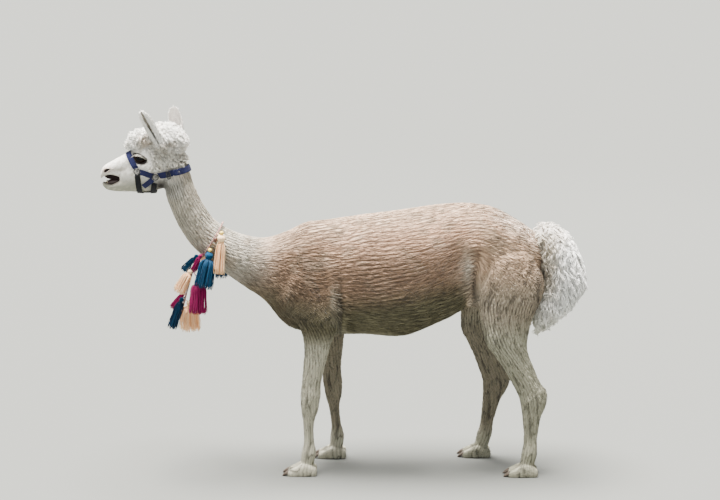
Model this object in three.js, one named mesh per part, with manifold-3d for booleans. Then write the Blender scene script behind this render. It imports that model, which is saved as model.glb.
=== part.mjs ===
// A life-size standing alpaca, freshly shorn, with an unshorn tail and topknot, a webbing halter and a
// garland of wool tassels round the neck. Millimetres, +Z up, the animal faces -X and its left side is -Y.
import * as THREE from 'three';
import { LoftGeometry } from 'three/addons/geometries/LoftGeometry.js';
import { mergeVertices } from 'three/addons/utils/BufferGeometryUtils.js';
import Module from 'manifold-3d';

const wasm = await Module();
wasm.setup();

// ---------------------------------------------------------------- driving dimensions
const GAP = 0.3; // clearance between neighbouring solids
const FAR = 3000; // size of a cutting block, larger than the animal
const NECK_CUT = { x: -330, z: 765, lean: 0.46 }; // between neck and trunk; lean is dx per dz
const EYE = { x: -702, y: 34, z: 1135, radius: 20, deep: 17 };
const NOSTRIL = { x: -829, y: 22, z: 1095, long: 10, thick: 4, deep: 10 };
const MOUTH = { corner: [-784, 1060], hollow: [-804, 1058], jawTip: [-838, 1045], lipZ: 1058, chinZ: 1000 };
const TOE = { spread: 17, half: 15.5, length: 112, height: 46 };
const NAIL = { length: 24, half: 8, height: 13 };
const STRAP = { thick: 3, lift: 1 }; // webbing, and how far it lies off the skin's solids
const RING = { radius: 11, wire: 2.2 };
const CORD = 6; // diameter of the garland's cord

// Sections of the body, nose end first: the crest [x, z], the underside [x, z], half the width,
// how far up the section is widest, and how square it is (2 is an ellipse).
const BODY = [
  { top: [-558, 1145], bottom: [-633, 1034], half: 47, widest: 0.5, square: 2 }, // behind the skull
  { top: [-539, 1095], bottom: [-622, 992], half: 48, widest: 0.5, square: 2 }, // throat
  { top: [-522, 1042], bottom: [-605, 942], half: 50, widest: 0.5, square: 2 },
  { top: [-492, 975], bottom: [-582, 889], half: 52, widest: 0.5, square: 2 }, // middle of the neck
  { top: [-447, 912], bottom: [-540, 822], half: 56, widest: 0.5, square: 2 },
  { top: [-378, 870], bottom: [-466, 752], half: 65, widest: 0.5, square: 2 }, // root of the neck
  { top: [-288, 850], bottom: [-368, 679], half: 84, widest: 0.5, square: 2 },
  { top: [-206, 870], bottom: [-286, 621], half: 100, widest: 0.5, square: 2.1 }, // breast
  { top: [-137, 903], bottom: [-199, 527], half: 113, widest: 0.5, square: 2.1 }, // withers
  { top: [-49, 916], bottom: [-69, 496], half: 129, widest: 0.46, square: 2.2 }, // girth
  { top: [63, 931], bottom: [63, 498], half: 147, widest: 0.45, square: 2.3 }, // ribs
  { top: [203, 948], bottom: [206, 493], half: 151, widest: 0.45, square: 2.3 }, // belly
  { top: [336, 967], bottom: [341, 543], half: 137, widest: 0.5, square: 2.3 }, // loin
  { top: [434, 972], bottom: [447, 598], half: 125, widest: 0.55, square: 2.3 }, // flank
  { top: [518, 958], bottom: [543, 619], half: 121, widest: 0.58, square: 2.3 }, // hips
  { top: [596, 920], bottom: [631, 619], half: 107, widest: 0.6, square: 2.2 }, // croup
  { top: [656, 880], bottom: [686, 659], half: 84, widest: 0.6, square: 2.1 }, // root of the tail
];

// Sections of the head, poll first, in the same terms.
const HEAD = [
  { top: [-558, 1137], bottom: [-621, 1020], half: 48, widest: 0.55, square: 2 },
  { top: [-585, 1183], bottom: [-642, 1010], half: 54, widest: 0.6, square: 2.1 }, // poll and jaw angle
  { top: [-626, 1201], bottom: [-677, 1007], half: 57, widest: 0.62, square: 2.2 },
  { top: [-675, 1195], bottom: [-712, 1008], half: 55, widest: 0.64, square: 2.3 }, // brow
  { top: [-713, 1173], bottom: [-739, 1010], half: 46, widest: 0.62, square: 2.3 },
  { top: [-752, 1151], bottom: [-769, 1011], half: 36, widest: 0.58, square: 2.3 }, // bridge of the nose
  { top: [-788, 1132], bottom: [-798, 1012], half: 31, widest: 0.55, square: 2.3 },
  { top: [-816, 1117], bottom: [-821, 1017], half: 29, widest: 0.55, square: 2.4 },
  { top: [-836, 1103], bottom: [-838, 1030], half: 24, widest: 0.55, square: 2.3 }, // nose tip
];

// Sections of the legs, top first. x runs from the front edge to the back edge at height z, y is the
// middle's distance from the animal's centre plane, and half is half the width across the animal.
const FORELEG = [
  { z: 722, x: [-214, -62], y: 80, half: 43 }, // shoulder blade
  { z: 645, x: [-216, -40], y: 84, half: 48 },
  { z: 585, x: [-190, -20], y: 84, half: 47 },
  { z: 545, x: [-160, -20], y: 84, half: 43 }, // elbow
  { z: 470, x: [-144, -46], y: 85, half: 36 }, // forearm
  { z: 350, x: [-152, -76], y: 87, half: 31 },
  { z: 290, x: [-156, -82], y: 88, half: 31 }, // knee
  { z: 240, x: [-156, -90], y: 89, half: 27 },
  { z: 195, x: [-150, -102], y: 90, half: 22 }, // cannon
  { z: 130, x: [-148, -103], y: 90, half: 21 },
  { z: 86, x: [-154, -98], y: 90, half: 25 }, // fetlock
  { z: 20, x: [-166, -106], y: 90, half: 23 },
];
const HINDLEG = [
  { z: 792, x: [466, 662], y: 76, half: 50 }, // haunch
  { z: 720, x: [463, 698], y: 82, half: 55 },
  { z: 650, x: [466, 694], y: 85, half: 55 }, // thigh
  { z: 575, x: [473, 664], y: 87, half: 50 },
  { z: 500, x: [494, 648], y: 90, half: 44 }, // stifle
  { z: 450, x: [523, 652], y: 92, half: 39 },
  { z: 400, x: [556, 671], y: 94, half: 34 }, // gaskin
  { z: 350, x: [585, 694], y: 96, half: 30 },
  { z: 300, x: [611, 718], y: 98, half: 28 }, // hock
  { z: 262, x: [621, 716], y: 99, half: 27 },
  { z: 215, x: [628, 700], y: 100, half: 24 },
  { z: 140, x: [634, 690], y: 100, half: 21 }, // cannon
  { z: 90, x: [630, 690], y: 100, half: 25 }, // fetlock
  { z: 20, x: [618, 680], y: 100, half: 23 },
];
// The right legs stand nearer each other than the left ones: their feet are moved by stride along x,
// and each section above them by less, down to nothing at the height of the pivot.
const STANCE = {
  foreleg: { rows: FORELEG, stride: 104, pivotZ: 760, heelX: -98 },
  hindleg: { rows: HINDLEG, stride: -152, pivotZ: 810, heelX: 690 },
};
const STRIDE_POWER = 1.35;

// Sections of the tail's wool, root first, in the same terms as the legs, with y 0.
const TAIL = [
  { z: 894, x: [704, 749], y: 0, half: 34 },
  { z: 862, x: [674, 802], y: 0, half: 66 },
  { z: 802, x: [676, 828], y: 0, half: 84 },
  { z: 745, x: [681, 846], y: 0, half: 91 },
  { z: 689, x: [687, 857], y: 0, half: 93 },
  { z: 636, x: [680, 850], y: 0, half: 88 },
  { z: 583, x: [667, 812], y: 0, half: 76 },
  { z: 537, x: [662, 766], y: 0, half: 58 },
  { z: 511, x: [683, 728], y: 0, half: 34 },
];

// Sections of the wool on the crown, forehead first, in the terms of the body.
const TOPKNOT = [
  { top: [-750, 1206], bottom: [-750, 1160], half: 30, widest: 0.5, square: 2.1 },
  { top: [-735, 1227], bottom: [-735, 1152], half: 44, widest: 0.5, square: 2.1 },
  { top: [-712, 1237], bottom: [-712, 1150], half: 53, widest: 0.5, square: 2.1 }, // over the brow
  { top: [-685, 1241], bottom: [-685, 1158], half: 56, widest: 0.5, square: 2.1 },
  { top: [-655, 1255], bottom: [-655, 1158], half: 58, widest: 0.5, square: 2.1 }, // between the ears
  { top: [-620, 1258], bottom: [-620, 1148], half: 61, widest: 0.5, square: 2.1 },
  { top: [-590, 1255], bottom: [-590, 1140], half: 61, widest: 0.5, square: 2.1 },
  { top: [-562, 1240], bottom: [-562, 1142], half: 52, widest: 0.5, square: 2.1 }, // poll
  { top: [-545, 1218], bottom: [-545, 1160], half: 36, widest: 0.5, square: 2.1 },
];

// Ears: root and tip [x, y, z] for the left (y is mirrored for the right), widest half width, the turn of
// the opening away from the animal's front, and how far the blade bows backwards.
const EARS = {
  left: { side: -1, root: [-630, 42, 1184], tip: [-689, 60, 1302], half: 21, turn: 1.1, bow: 4 },
  right: { side: 1, root: [-578, 40, 1186], tip: [-595, 52, 1301], half: 24, turn: 1.35, bow: 4 },
};

// ---------------------------------------------------------------- solids and cuts
// A closed geometry as a manifold-3d solid.
function solid(geometry) {
  const bare = geometry.index ? geometry.toNonIndexed() : geometry.clone();
  bare.deleteAttribute('normal');
  bare.deleteAttribute('uv');
  const merged = mergeVertices(bare, 1e-3);
  const vertProperties = merged.attributes.position.array;
  const triVerts = new Uint32Array(merged.index.array);
  return new wasm.Manifold(new wasm.Mesh({ numProp: 3, vertProperties, triVerts }));
}

const joined = (...solids) => solids.reduce((a, b) => a.add(b));
const without = (from, ...cutters) => cutters.reduce((a, b) => a.subtract(b), from);

// The largest of the bodies that a cut leaves; crumbs beside it are dropped.
function mainBody(cut) {
  const volume = (body) => body.volume();
  return cut.decompose().sort((a, b) => volume(b) - volume(a))[0];
}

// Everything on the +X side of a plane through x, z that leans by lean in x for each unit of z.
function behind({ x, z, lean }, gap) {
  const block = new THREE.BoxGeometry(FAR, FAR, FAR);
  block.translate(FAR / 2, 0, 0);
  block.rotateY(Math.atan(lean));
  block.translate(x + gap, 0, z);
  return solid(block);
}

function below(z) {
  return solid(new THREE.BoxGeometry(FAR, FAR, FAR).translate(0, 0, z - FAR / 2));
}

function ellipsoid(size, centre, rings = 10, grow = 0) {
  const ball = new THREE.SphereGeometry(1, rings * 2, rings);
  ball.scale(size[0] + grow, size[1] + grow, size[2] + grow);
  ball.translate(...centre);
  return solid(ball);
}

// ---------------------------------------------------------------- lofted forms
// Rows of a leg or tail in the terms of the body: its front edge is the top of each section.
const upright = (rows) =>
  rows.map(({ z, x, y, half, square = 2.1 }) => ({
    top: [x[0], z],
    bottom: [x[1], z],
    half,
    widest: 0.5,
    square,
    y,
  }));

// Smooth curves through the rows: both edges of the sections and the numbers that shape them.
function profile(rows) {
  const curve = (point) => new THREE.CatmullRomCurve3(rows.map(point), false, 'catmullrom', 0.5);
  return {
    spans: rows.length - 1,
    top: curve((r) => new THREE.Vector3(r.top[0], r.y ?? 0, r.top[1])),
    bottom: curve((r) => new THREE.Vector3(r.bottom[0], r.y ?? 0, r.bottom[1])),
    shape: curve((r) => new THREE.Vector3(r.half, r.widest, r.square)),
  };
}

// The section at t of a profile: its widest line's middle, its half sizes and how square it is.
function section(form, t) {
  const top = form.top.getPoint(t);
  const bottom = form.bottom.getPoint(t);
  const shape = form.shape.getPoint(t);
  const middle = bottom.clone().lerp(top, shape.y);
  return { middle, up: top.sub(middle), down: bottom.sub(middle), half: shape.x, square: shape.z };
}

// A point of the section at an angle from the animal's +Y side, grown outwards by grow.
function sectionPoint(form, t, angle, grow = 0) {
  const { middle, up, down, half, square } = section(form, t);
  const power = 2 / square;
  const across = Math.sign(Math.cos(angle)) * Math.abs(Math.cos(angle)) ** power;
  const along = Math.abs(Math.sin(angle)) ** power;
  const edge = Math.sin(angle) >= 0 ? up : down;
  return middle
    .clone()
    .addScaledVector(edge, along * (1 + grow / Math.max(edge.length(), 1)))
    .add(new THREE.Vector3(0, across * (half + grow), 0));
}

// A closed loft of the profile. round gives the depth of the rounded cap at each end. The rings turn
// right-handed about the way the loft runs, which makes its walls face out.
function loft(form, { around = 16, grow = 0, round = [0, 0] }) {
  const run = section(form, 0.55).middle.sub(section(form, 0.45).middle);
  const turn = section(form, 0.5).up.cross(run).y > 0 ? 1 : -1;
  const ring = (t) => {
    const points = [];
    for (let i = 0; i < around; i++) {
      points.push(sectionPoint(form, t, (turn * i * 2 * Math.PI) / around, grow));
    }
    return points;
  };
  const sections = [];
  for (let i = 0; i <= form.spans; i++) sections.push(ring(i / form.spans));
  const cap = (end, depth) => {
    const t = end === 0 ? 0 : 1;
    const middle = section(form, t).middle;
    const inward = section(form, end === 0 ? 0.02 : 0.98).middle;
    const outward = middle.clone().sub(inward).normalize();
    for (const reach of depth ? [0.55, 0.93] : [0]) {
      const scale = depth ? Math.sqrt(1 - reach * reach) : 1;
      const moved = ring(t).map((p) =>
        p.sub(middle).multiplyScalar(scale).add(middle).addScaledVector(outward, reach * depth + grow),
      );
      if (end === 0) sections.unshift(moved);
      else sections.push(moved);
    }
  };
  if (round[0] || grow) cap(0, round[0]);
  if (round[1] || grow) cap(1, round[1]);
  return solid(new LoftGeometry(sections, { capStart: true, capEnd: true }));
}

const bodyForm = profile(BODY);
const headForm = profile(HEAD);
const bodyOptions = { around: 18, round: [10, 26] };
const headOptions = { around: 16, round: [10, 11] };

// ---------------------------------------------------------------- legs, feet and nails
// The rows of one leg in its stance: stride moves the foot, and what is above it by less.
function stance({ rows, stride, pivotZ }, side) {
  const shift = (z) => (side > 0 ? stride * Math.max(0, 1 - (z / pivotZ) ** STRIDE_POWER) : 0);
  return rows.map((r) => ({ ...r, y: side * r.y, x: r.x.map((x) => x + shift(r.z)) }));
}

// One of a foot's two toes, from its heel forwards; sole rounds under the floor and is cut flat there.
function toe(heelX, y, grow) {
  const at = (share, topZ, half) => ({
    top: [heelX - share * TOE.length, topZ],
    bottom: [heelX - share * TOE.length, -6],
    half: half * TOE.half,
    widest: 0.42,
    square: 2.5,
    y,
  });
  const rows = [at(0.04, 34, 0.8), at(0.42, TOE.height, 1), at(0.86, 25, 0.9)];
  return loft(profile(rows), { around: 8, grow, round: [0, 10] });
}

// A leg with its foot. The embedded top of it lies in a pocket of the trunk.
function leg(kind, side, grow = 0) {
  const { heelX, stride } = STANCE[kind];
  const rows = stance(STANCE[kind], side);
  const footY = side * STANCE[kind].rows.at(-1).y;
  const footX = heelX + (side > 0 ? stride : 0);
  const shaft = loft(profile(upright(rows)), { around: 10, grow, round: [50, 0] });
  const toes = [-1, 1].map((s) => toe(footX, footY + s * TOE.spread, grow));
  return joined(shaft, ...toes).subtract(below(0));
}

// A toe's nail: a blunt claw that hoods the tip and ends just above the floor.
function nail(kind, side, outer, grow = 0) {
  const { heelX, stride, rows } = STANCE[kind];
  const tipX = heelX + (side > 0 ? stride : 0) - 0.88 * TOE.length;
  const y = side * rows.at(-1).y + outer * TOE.spread;
  const at = (share, z, size) => ({
    top: [tipX - share * NAIL.length, z + size * NAIL.height],
    bottom: [tipX - share * NAIL.length, z],
    half: size * NAIL.half,
    widest: 0.4,
    square: 2,
    y,
  });
  const rowsOfNail = [at(0, 10, 1), at(0.45, 7, 0.9), at(0.8, 3.5, 0.6), at(1, 1.2, 0.25)];
  return loft(profile(rowsOfNail), { around: 5, grow });
}

// ---------------------------------------------------------------- ears
// A cupped blade: flat rings across the ear, widest at mid length, bowed backwards.
function ear({ side, root, tip, half, turn, bow }, grow = 0) {
  const base = new THREE.Vector3(root[0], side * root[1], root[2]);
  const end = new THREE.Vector3(tip[0], side * tip[1], tip[2]);
  const along = end.clone().sub(base);
  const up = along.clone().normalize();
  // The opening starts at the front and turns outwards on the left ear, inwards on the right one.
  const face = new THREE.Vector3(-Math.cos(turn), -Math.sin(turn), 0);
  face.addScaledVector(up, -face.dot(up)).normalize();
  const across = new THREE.Vector3().crossVectors(face, up);
  const sections = [];
  const rings = 6;
  const around = 8;
  for (let i = 0; i <= rings; i++) {
    const t = i / rings;
    const width = half * (0.85 + 0.3 * t) * Math.sqrt(1 - t ** 4) + 1.5 + grow;
    const thick = 3.6 * (1.25 - 0.8 * t) + grow;
    const middle = base.clone().addScaledVector(along, t);
    middle.addScaledVector(face, -bow * Math.sin(Math.PI * t));
    const ends = i === 0 ? -grow : i === rings ? grow : 0;
    middle.addScaledVector(up, ends);
    const points = [];
    for (let j = 0; j < around; j++) {
      const a = (j / around) * 2 * Math.PI;
      const cup = 0.5 * width * Math.cos(a) ** 2 * (1 - 0.6 * t);
      points.push(
        middle
          .clone()
          .addScaledVector(across, width * Math.cos(a))
          .addScaledVector(face, thick * Math.sin(a) + cup),
      );
    }
    sections.push(points);
  }
  return solid(new LoftGeometry(sections, { capStart: true, capEnd: true }));
}

// ---------------------------------------------------------------- head, jaw and mouth
// A plate across the animal, from an outline in x and z.
function plate(outline, halfWidth) {
  const shape = new THREE.Shape(outline.map(([x, z]) => new THREE.Vector2(x, z)));
  const geometry = new THREE.ExtrudeGeometry(shape, { depth: 2 * halfWidth, bevelEnabled: false });
  geometry.rotateX(Math.PI / 2);
  geometry.translate(0, halfWidth, 0);
  return solid(geometry);
}

const ahead = -870; // clear of the nose
// The open mouth: a lens between the lips, from its corner to the front, and all in front of the jaw.
const mouthGap = plate(
  [
    MOUTH.corner,
    [-801, 1070],
    [-822, 1071],
    [-839, MOUTH.lipZ],
    [ahead, MOUTH.lipZ - 2],
    [ahead, MOUTH.chinZ - 10],
    [MOUTH.jawTip[0] - 3, MOUTH.chinZ - 10],
    MOUTH.jawTip,
    [-831, 1048],
    [-812, 1043],
  ],
  80,
);
const belowMouth = (gap) =>
  plate(
    [
      [MOUTH.corner[0] - gap, MOUTH.corner[1]],
      [ahead, MOUTH.lipZ - 10],
      [ahead, MOUTH.chinZ - 20],
      [MOUTH.corner[0] + 22 - gap, MOUTH.chinZ - 20],
    ],
    80,
  );
const mouthHollow = () => ellipsoid([30, 17, 9], [MOUTH.hollow[0], 0, MOUTH.hollow[1]], 5);
const tongueForm = (grow) =>
  loft(
    profile([
      { top: [-784, 1056], bottom: [-784, 1045], half: 12, widest: 0.5, square: 2 },
      { top: [-800, 1057], bottom: [-800, 1043], half: 12, widest: 0.5, square: 2 },
      { top: [-817, 1051], bottom: [-817, 1039], half: 10, widest: 0.5, square: 2 },
    ]),
    { around: 8, grow, round: [5, 8] },
  );
const incisorForm = (grow) =>
  loft(
    profile([
      { top: [-820, 1034], bottom: [-818, 1023], half: 11, widest: 0.5, square: 2.6 },
      { top: [-829, 1041], bottom: [-829, 1028], half: 10, widest: 0.5, square: 2.6 },
      { top: [-835, 1051], bottom: [-839, 1046], half: 9, widest: 0.5, square: 2.6 },
    ]),
    { around: 8, grow },
  );

const headLoft = (grow) => loft(headForm, { ...headOptions, grow });
const bodyLoft = (grow) => loft(bodyForm, { ...bodyOptions, grow });
const eye = (side, grow = 0) =>
  ellipsoid([EYE.radius, EYE.deep, EYE.radius], [EYE.x, side * EYE.y, EYE.z], 5, grow);
const nostril = (side) => {
  const slot = new THREE.SphereGeometry(1, 8, 4);
  slot.scale(NOSTRIL.long, NOSTRIL.deep, NOSTRIL.thick);
  slot.rotateY(-0.35);
  slot.rotateZ(side * 0.7);
  slot.translate(NOSTRIL.x, side * NOSTRIL.y, NOSTRIL.z);
  return solid(slot);
};
const SIDES = { left: -1, right: 1 };
const both = (make) => Object.values(SIDES).map(make);
const earPair = (grow) => Object.values(EARS).map((e) => ear(e, grow));

// ---------------------------------------------------------------- halter
// Straps as strips of the side view, from one middle line's end to the other. A strip that runs past
// the outline wraps round it.
const STRAPS = {
  noseband_upper: { from: [-751, 1162], to: [-718.5, 1105], width: 14 }, // over the bridge
  noseband_lower: { from: [-713, 1077], to: [-710, 990], width: 17 }, // under the jaw
  cheek: { from: [-698, 1087.5], to: [-663.5, 1077], width: 17 },
  crown: { from: [-634.5, 1075], to: [-515, 1101], width: 20 }, // round the neck behind the ears
  throat: { from: [-652.5, 1057], to: [-668, 985], width: 17 },
  tab: { from: [-667, 1056], to: [-694, 1034], width: 18 }, // the loose end of the adjusting strap
};
const CHIN_LINK = { from: -701.8, to: -677, half: 9, top: 1030, bottom: 970 };
const NOSE_RING = [-713, 1092];
const CHEEK_RING = [-649, 1072.5];
const BUCKLE = { at: [-604, 1080], length: 9, height: 30, thick: 4, wall: 3, tilt: -0.24, turn: 0.11 };

// A strip of the side view, as a plate through the animal, grown outwards by grow.
function strip({ from, to, width }, grow = 0) {
  const run = new THREE.Vector2(to[0] - from[0], to[1] - from[1]).normalize();
  const corner = ([x, z], along, across) => [
    x + run.x * along * grow - run.y * across * (width / 2 + grow),
    z + run.y * along * grow + run.x * across * (width / 2 + grow),
  ];
  return plate([corner(from, -1, -1), corner(to, 1, -1), corner(to, 1, 1), corner(from, -1, 1)], 150);
}

// A shell all round head and neck, from inner to outer above their surface.
const shell = (inner, outer) =>
  joined(headLoft(outer), bodyLoft(outer)).subtract(joined(headLoft(inner), bodyLoft(inner)));

const sideBlock = (side) =>
  solid(new THREE.BoxGeometry(FAR, FAR, FAR).translate(0, side * (FAR / 2 + GAP / 2), 0));

// How far the side surface of a form is from the centre plane at a point of the side view.
function surfaceY(form, [x, z]) {
  let [y, miss] = [0, Infinity];
  for (let i = 0; i <= 120; i++) {
    for (let j = 0; j <= 30; j++) {
      const p = sectionPoint(form, i / 120, (j / 30 - 0.5) * Math.PI);
      const d = Math.hypot(p.x - x, p.z - z);
      if (d < miss) [y, miss] = [p.y, d];
    }
  }
  return y;
}

// A wire ring against the side of the head, clear of the widest place that it covers.
function sideRing(at, side) {
  const ring = new THREE.TorusGeometry(RING.radius, RING.wire, 5, 9);
  const rim = [0, 1, 2, 3].map((k) => (k * Math.PI) / 2);
  const reach = rim.map((a) => [at[0] + RING.radius * Math.cos(a), at[1] + RING.radius * Math.sin(a)]);
  const clear = Math.max(...[at, ...reach].map((p) => surfaceY(headForm, p)));
  ring.rotateX(Math.PI / 2);
  ring.translate(at[0], side * (clear + STRAP.lift + RING.wire), at[1]);
  return solid(ring);
}

// The frame of a slide buckle, lying on the crown strap's left side.
function buckle() {
  const { at, length, height, thick, wall, tilt, turn } = BUCKLE;
  const y = surfaceY(headForm, at) + STRAP.lift + STRAP.thick + thick / 2 + 1.5;
  const place = (box) => solid(box.rotateY(tilt).rotateZ(turn).translate(at[0], -y, at[1]));
  const hole = new THREE.BoxGeometry(length - wall, thick * 3, height - 2 * wall);
  return place(new THREE.BoxGeometry(length + wall, thick, height)).subtract(place(hole));
}

// ---------------------------------------------------------------- garland
// The cord lies round the neck in a plane that leans forwards, down to an angle below each side, and
// hangs free from there. Points of the free half on the left, from the neck to the lowest point.
const COLLAR = { x: -427, z: 897, lean: 0.62, leave: 0.28 * Math.PI, lift: 6 };
const DROP = [
  [-512, -37, 771],
  [-525, -34, 749],
  [-535, -30, 726],
  [-543, -26, 702],
  [-550, -22, 677],
  [-557, -18, 653],
  [-564, -16.5, 628],
  [-570, -15, 604],
  [-573, -9.5, 593.5],
  [-574, 0, 590],
];
// Tassels of wool: where each is tied on, its tip, and the radii of its knob and skirt.
const TASSELS = {
  peach_left: { tie: [-424, -70, 884], tip: [-436, -86, 732], knob: 13, skirt: 20 },
  teal_left: { tie: [-466, -69, 822], tip: [-488, -90, 686], knob: 15, skirt: 30 },
  magenta_side: { tie: [-498, -60, 801], tip: [-526, -64, 741], knob: 6, skirt: 8 },
  teal_front: { tie: [-519, 34, 776], tip: [-572, 42, 719], knob: 7, skirt: 12 },
  peach_front: { tie: [-536, -44, 741], tip: [-579, -56, 659], knob: 8, skirt: 22 },
  magenta_front: { tie: [-562, 29, 652], tip: [-620, 38, 579], knob: 6, skirt: 9 },
  blue_front: { tie: [-570, -32, 633], tip: [-604, -40, 522], knob: 8, skirt: 16 },
  magenta_low: { tie: [-517, -66, 698], tip: [-512, -80, 588], knob: 11, skirt: 33 },
  peach_low: { tie: [-552, 24, 612], tip: [-552, 26, 500], knob: 11, skirt: 40 },
  teal_right: { tie: [-446, 72, 822], tip: [-440, 90, 678], knob: 15, skirt: 27 },
  peach_right: { tie: [-490, 68, 812], tip: [-500, 84, 674], knob: 13, skirt: 20 },
};

// The point of the cord's plane at an angle round the neck, as its angle in the neck's section.
function onNeck(angle) {
  const point = (t) => sectionPoint(bodyForm, t, angle, COLLAR.lift);
  let [low, high] = [0.1, 0.6];
  for (let i = 0; i < 24; i++) {
    const t = (low + high) / 2;
    const { x, z } = point(t);
    if (x < COLLAR.x + COLLAR.lean * (z - COLLAR.z)) low = t;
    else high = t;
  }
  return point(low);
}

// A round tube along a curve.
function tube(curve, steps, sides) {
  const outline = Array.from({ length: sides }, (_, i) => {
    const angle = (-i / sides) * 2 * Math.PI;
    return new THREE.Vector2(Math.cos(angle), Math.sin(angle)).multiplyScalar(CORD / 2);
  });
  const options = { steps, extrudePath: curve, bevelEnabled: false };
  return solid(new THREE.ExtrudeGeometry(new THREE.Shape(outline), options));
}

// The whole loop's curve and the shares of it at which the cord leaves the neck and meets it again.
function garland() {
  const turns = 9;
  const angle = (i) => -COLLAR.leave + (i / (turns - 1)) * (Math.PI + 2 * COLLAR.leave);
  const collar = Array.from({ length: turns }, (_, i) => onNeck(angle(i)));
  const left = DROP.map((p) => new THREE.Vector3(...p));
  const right = DROP.slice(0, -1).reverse().map(([x, y, z]) => new THREE.Vector3(x, -y, z));
  const points = [...collar, ...left, ...right];
  const loop = new THREE.CatmullRomCurve3(points, true, 'catmullrom', 0.5);
  const part = (from, to, count) => {
    const at = (i) => loop.getPoint((from + ((to - from) * i) / count) / points.length);
    return new THREE.CatmullRomCurve3(Array.from({ length: count + 1 }, (_, i) => at(i)));
  };
  const trim = 0.03; // half the clearance between the two tubes, in steps of the curve
  return {
    collar: tube(part(trim, turns - 1 - trim, 24), 15, 6),
    drop: tube(part(turns - 1 + trim, points.length - trim, 40), 24, 8),
  };
}

// A tassel: a bound knob over a skirt of strands that widens downwards.
function tassel({ tie, tip, knob, skirt }) {
  const top = new THREE.Vector3(...tie);
  const aim = new THREE.Vector3(...tip).sub(top);
  const length = aim.length();
  const waist = 1.85 * knob;
  const profilePoints = [
    [0, 0],
    [knob, knob * 0.9],
    [knob * 0.6, waist],
    [skirt * 0.78, waist + 0.22 * (length - waist)],
    [skirt, length * 0.86],
    [skirt * 0.8, length],
    [0, length],
  ];
  const turned = new THREE.LatheGeometry(
    profilePoints.map(([r, s]) => new THREE.Vector2(r, s)),
    6,
  );
  const turn = new THREE.Quaternion().setFromUnitVectors(new THREE.Vector3(0, 1, 0), aim.normalize());
  turned.applyQuaternion(turn);
  turned.translate(top.x, top.y, top.z);
  return solid(turned);
}

// ---------------------------------------------------------------- assembly
const PAINT = {
  fleece: { color: 0xc9b39e, roughness: 0.95, metalness: 0 },
  wool: { color: 0xe9e2d6, roughness: 0.95, metalness: 0 },
  face: { color: 0xe4ded2, roughness: 0.9, metalness: 0 },
  eye: { color: 0x0c0a0a, roughness: 0.1, metalness: 0 },
  nail: { color: 0x3a322b, roughness: 0.5, metalness: 0 },
  mouth: { color: 0x6b4a44, roughness: 0.5, metalness: 0 },
  tooth: { color: 0xd9cfae, roughness: 0.4, metalness: 0 },
  navy: { color: 0x1d2456, roughness: 0.8, metalness: 0 },
  black: { color: 0x15161a, roughness: 0.8, metalness: 0 },
  steel: { color: 0xb8bbc0, roughness: 0.3, metalness: 1 },
  cord: { color: 0xa07a72, roughness: 0.9, metalness: 0 },
  peach: { color: 0xe8c09a, roughness: 0.95, metalness: 0 },
  teal: { color: 0x14506e, roughness: 0.95, metalness: 0 },
  magenta: { color: 0x7e0f4a, roughness: 0.95, metalness: 0 },
  blue: { color: 0x123a5c, roughness: 0.95, metalness: 0 },
};

const animal = new THREE.Group();

function add(name, made, paint) {
  const { numProp, numVert, vertProperties, triVerts } = mainBody(made).getMesh();
  const positions = new Float32Array(numVert * 3);
  for (let i = 0; i < numVert; i++) {
    positions.set(vertProperties.subarray(i * numProp, i * numProp + 3), i * 3);
  }
  const geometry = new THREE.BufferGeometry();
  geometry.setAttribute('position', new THREE.BufferAttribute(positions, 3));
  geometry.setIndex(new THREE.BufferAttribute(triVerts, 1));
  geometry.computeVertexNormals();
  const mesh = new THREE.Mesh(geometry, new THREE.MeshStandardMaterial(PAINT[paint]));
  mesh.name = name;
  animal.add(mesh);
}

// Body and limbs.
const bodySolid = bodyLoft(0);
const bodyGrown = bodyLoft(GAP);
const headGrown = headLoft(GAP);
const kinds = Object.keys(STANCE);
const legsGrown = joined(...kinds.flatMap((kind) => both((side) => leg(kind, side, GAP))));

add('trunk', without(bodySolid.intersect(behind(NECK_CUT, GAP)), legsGrown), 'fleece');
add('neck', without(bodySolid.subtract(behind(NECK_CUT, 0)), headGrown, legsGrown), 'fleece');
for (const kind of kinds) {
  for (const [name, side] of Object.entries(SIDES)) {
    const nails = [-1, 1].map((outer) => nail(kind, side, outer, GAP));
    add(`${kind}_${name}`, without(leg(kind, side), ...nails), 'fleece');
    for (const outer of [-1, 1]) {
      const place = outer * side > 0 ? 'outer' : 'inner';
      add(`nail_${kind}_${name}_${place}`, nail(kind, side, outer), 'nail');
    }
  }
}
const tailLoft = loft(profile(upright(TAIL)), { around: 12, round: [8, 10] });
add('tail', without(tailLoft, bodyGrown, legsGrown), 'wool');

// Head.
const eyes = (grow) => both((side) => eye(side, grow));
const headWhole = without(headLoft(0), mouthGap, mouthHollow(), ...eyes(GAP), ...earPair(GAP));
const mouthGrown = [tongueForm(GAP), incisorForm(GAP)];
add('head', without(headWhole, belowMouth(0), ...both(nostril), ...mouthGrown), 'face');
add('jaw', without(headWhole.intersect(belowMouth(GAP)), ...mouthGrown), 'face');
add('tongue', tongueForm(0), 'mouth');
add('incisors', incisorForm(0), 'tooth');
for (const [name, side] of Object.entries(SIDES)) add(`eye_${name}`, eye(side), 'eye');
for (const name of Object.keys(EARS)) add(`ear_${name}`, ear(EARS[name]), 'face');
const underKnot = [headGrown, bodyGrown, strip(STRAPS.noseband_upper, GAP), ...earPair(GAP)];
add('topknot', without(loft(profile(TOPKNOT), { around: 12, round: [12, 9] }), ...underKnot), 'wool');

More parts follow.
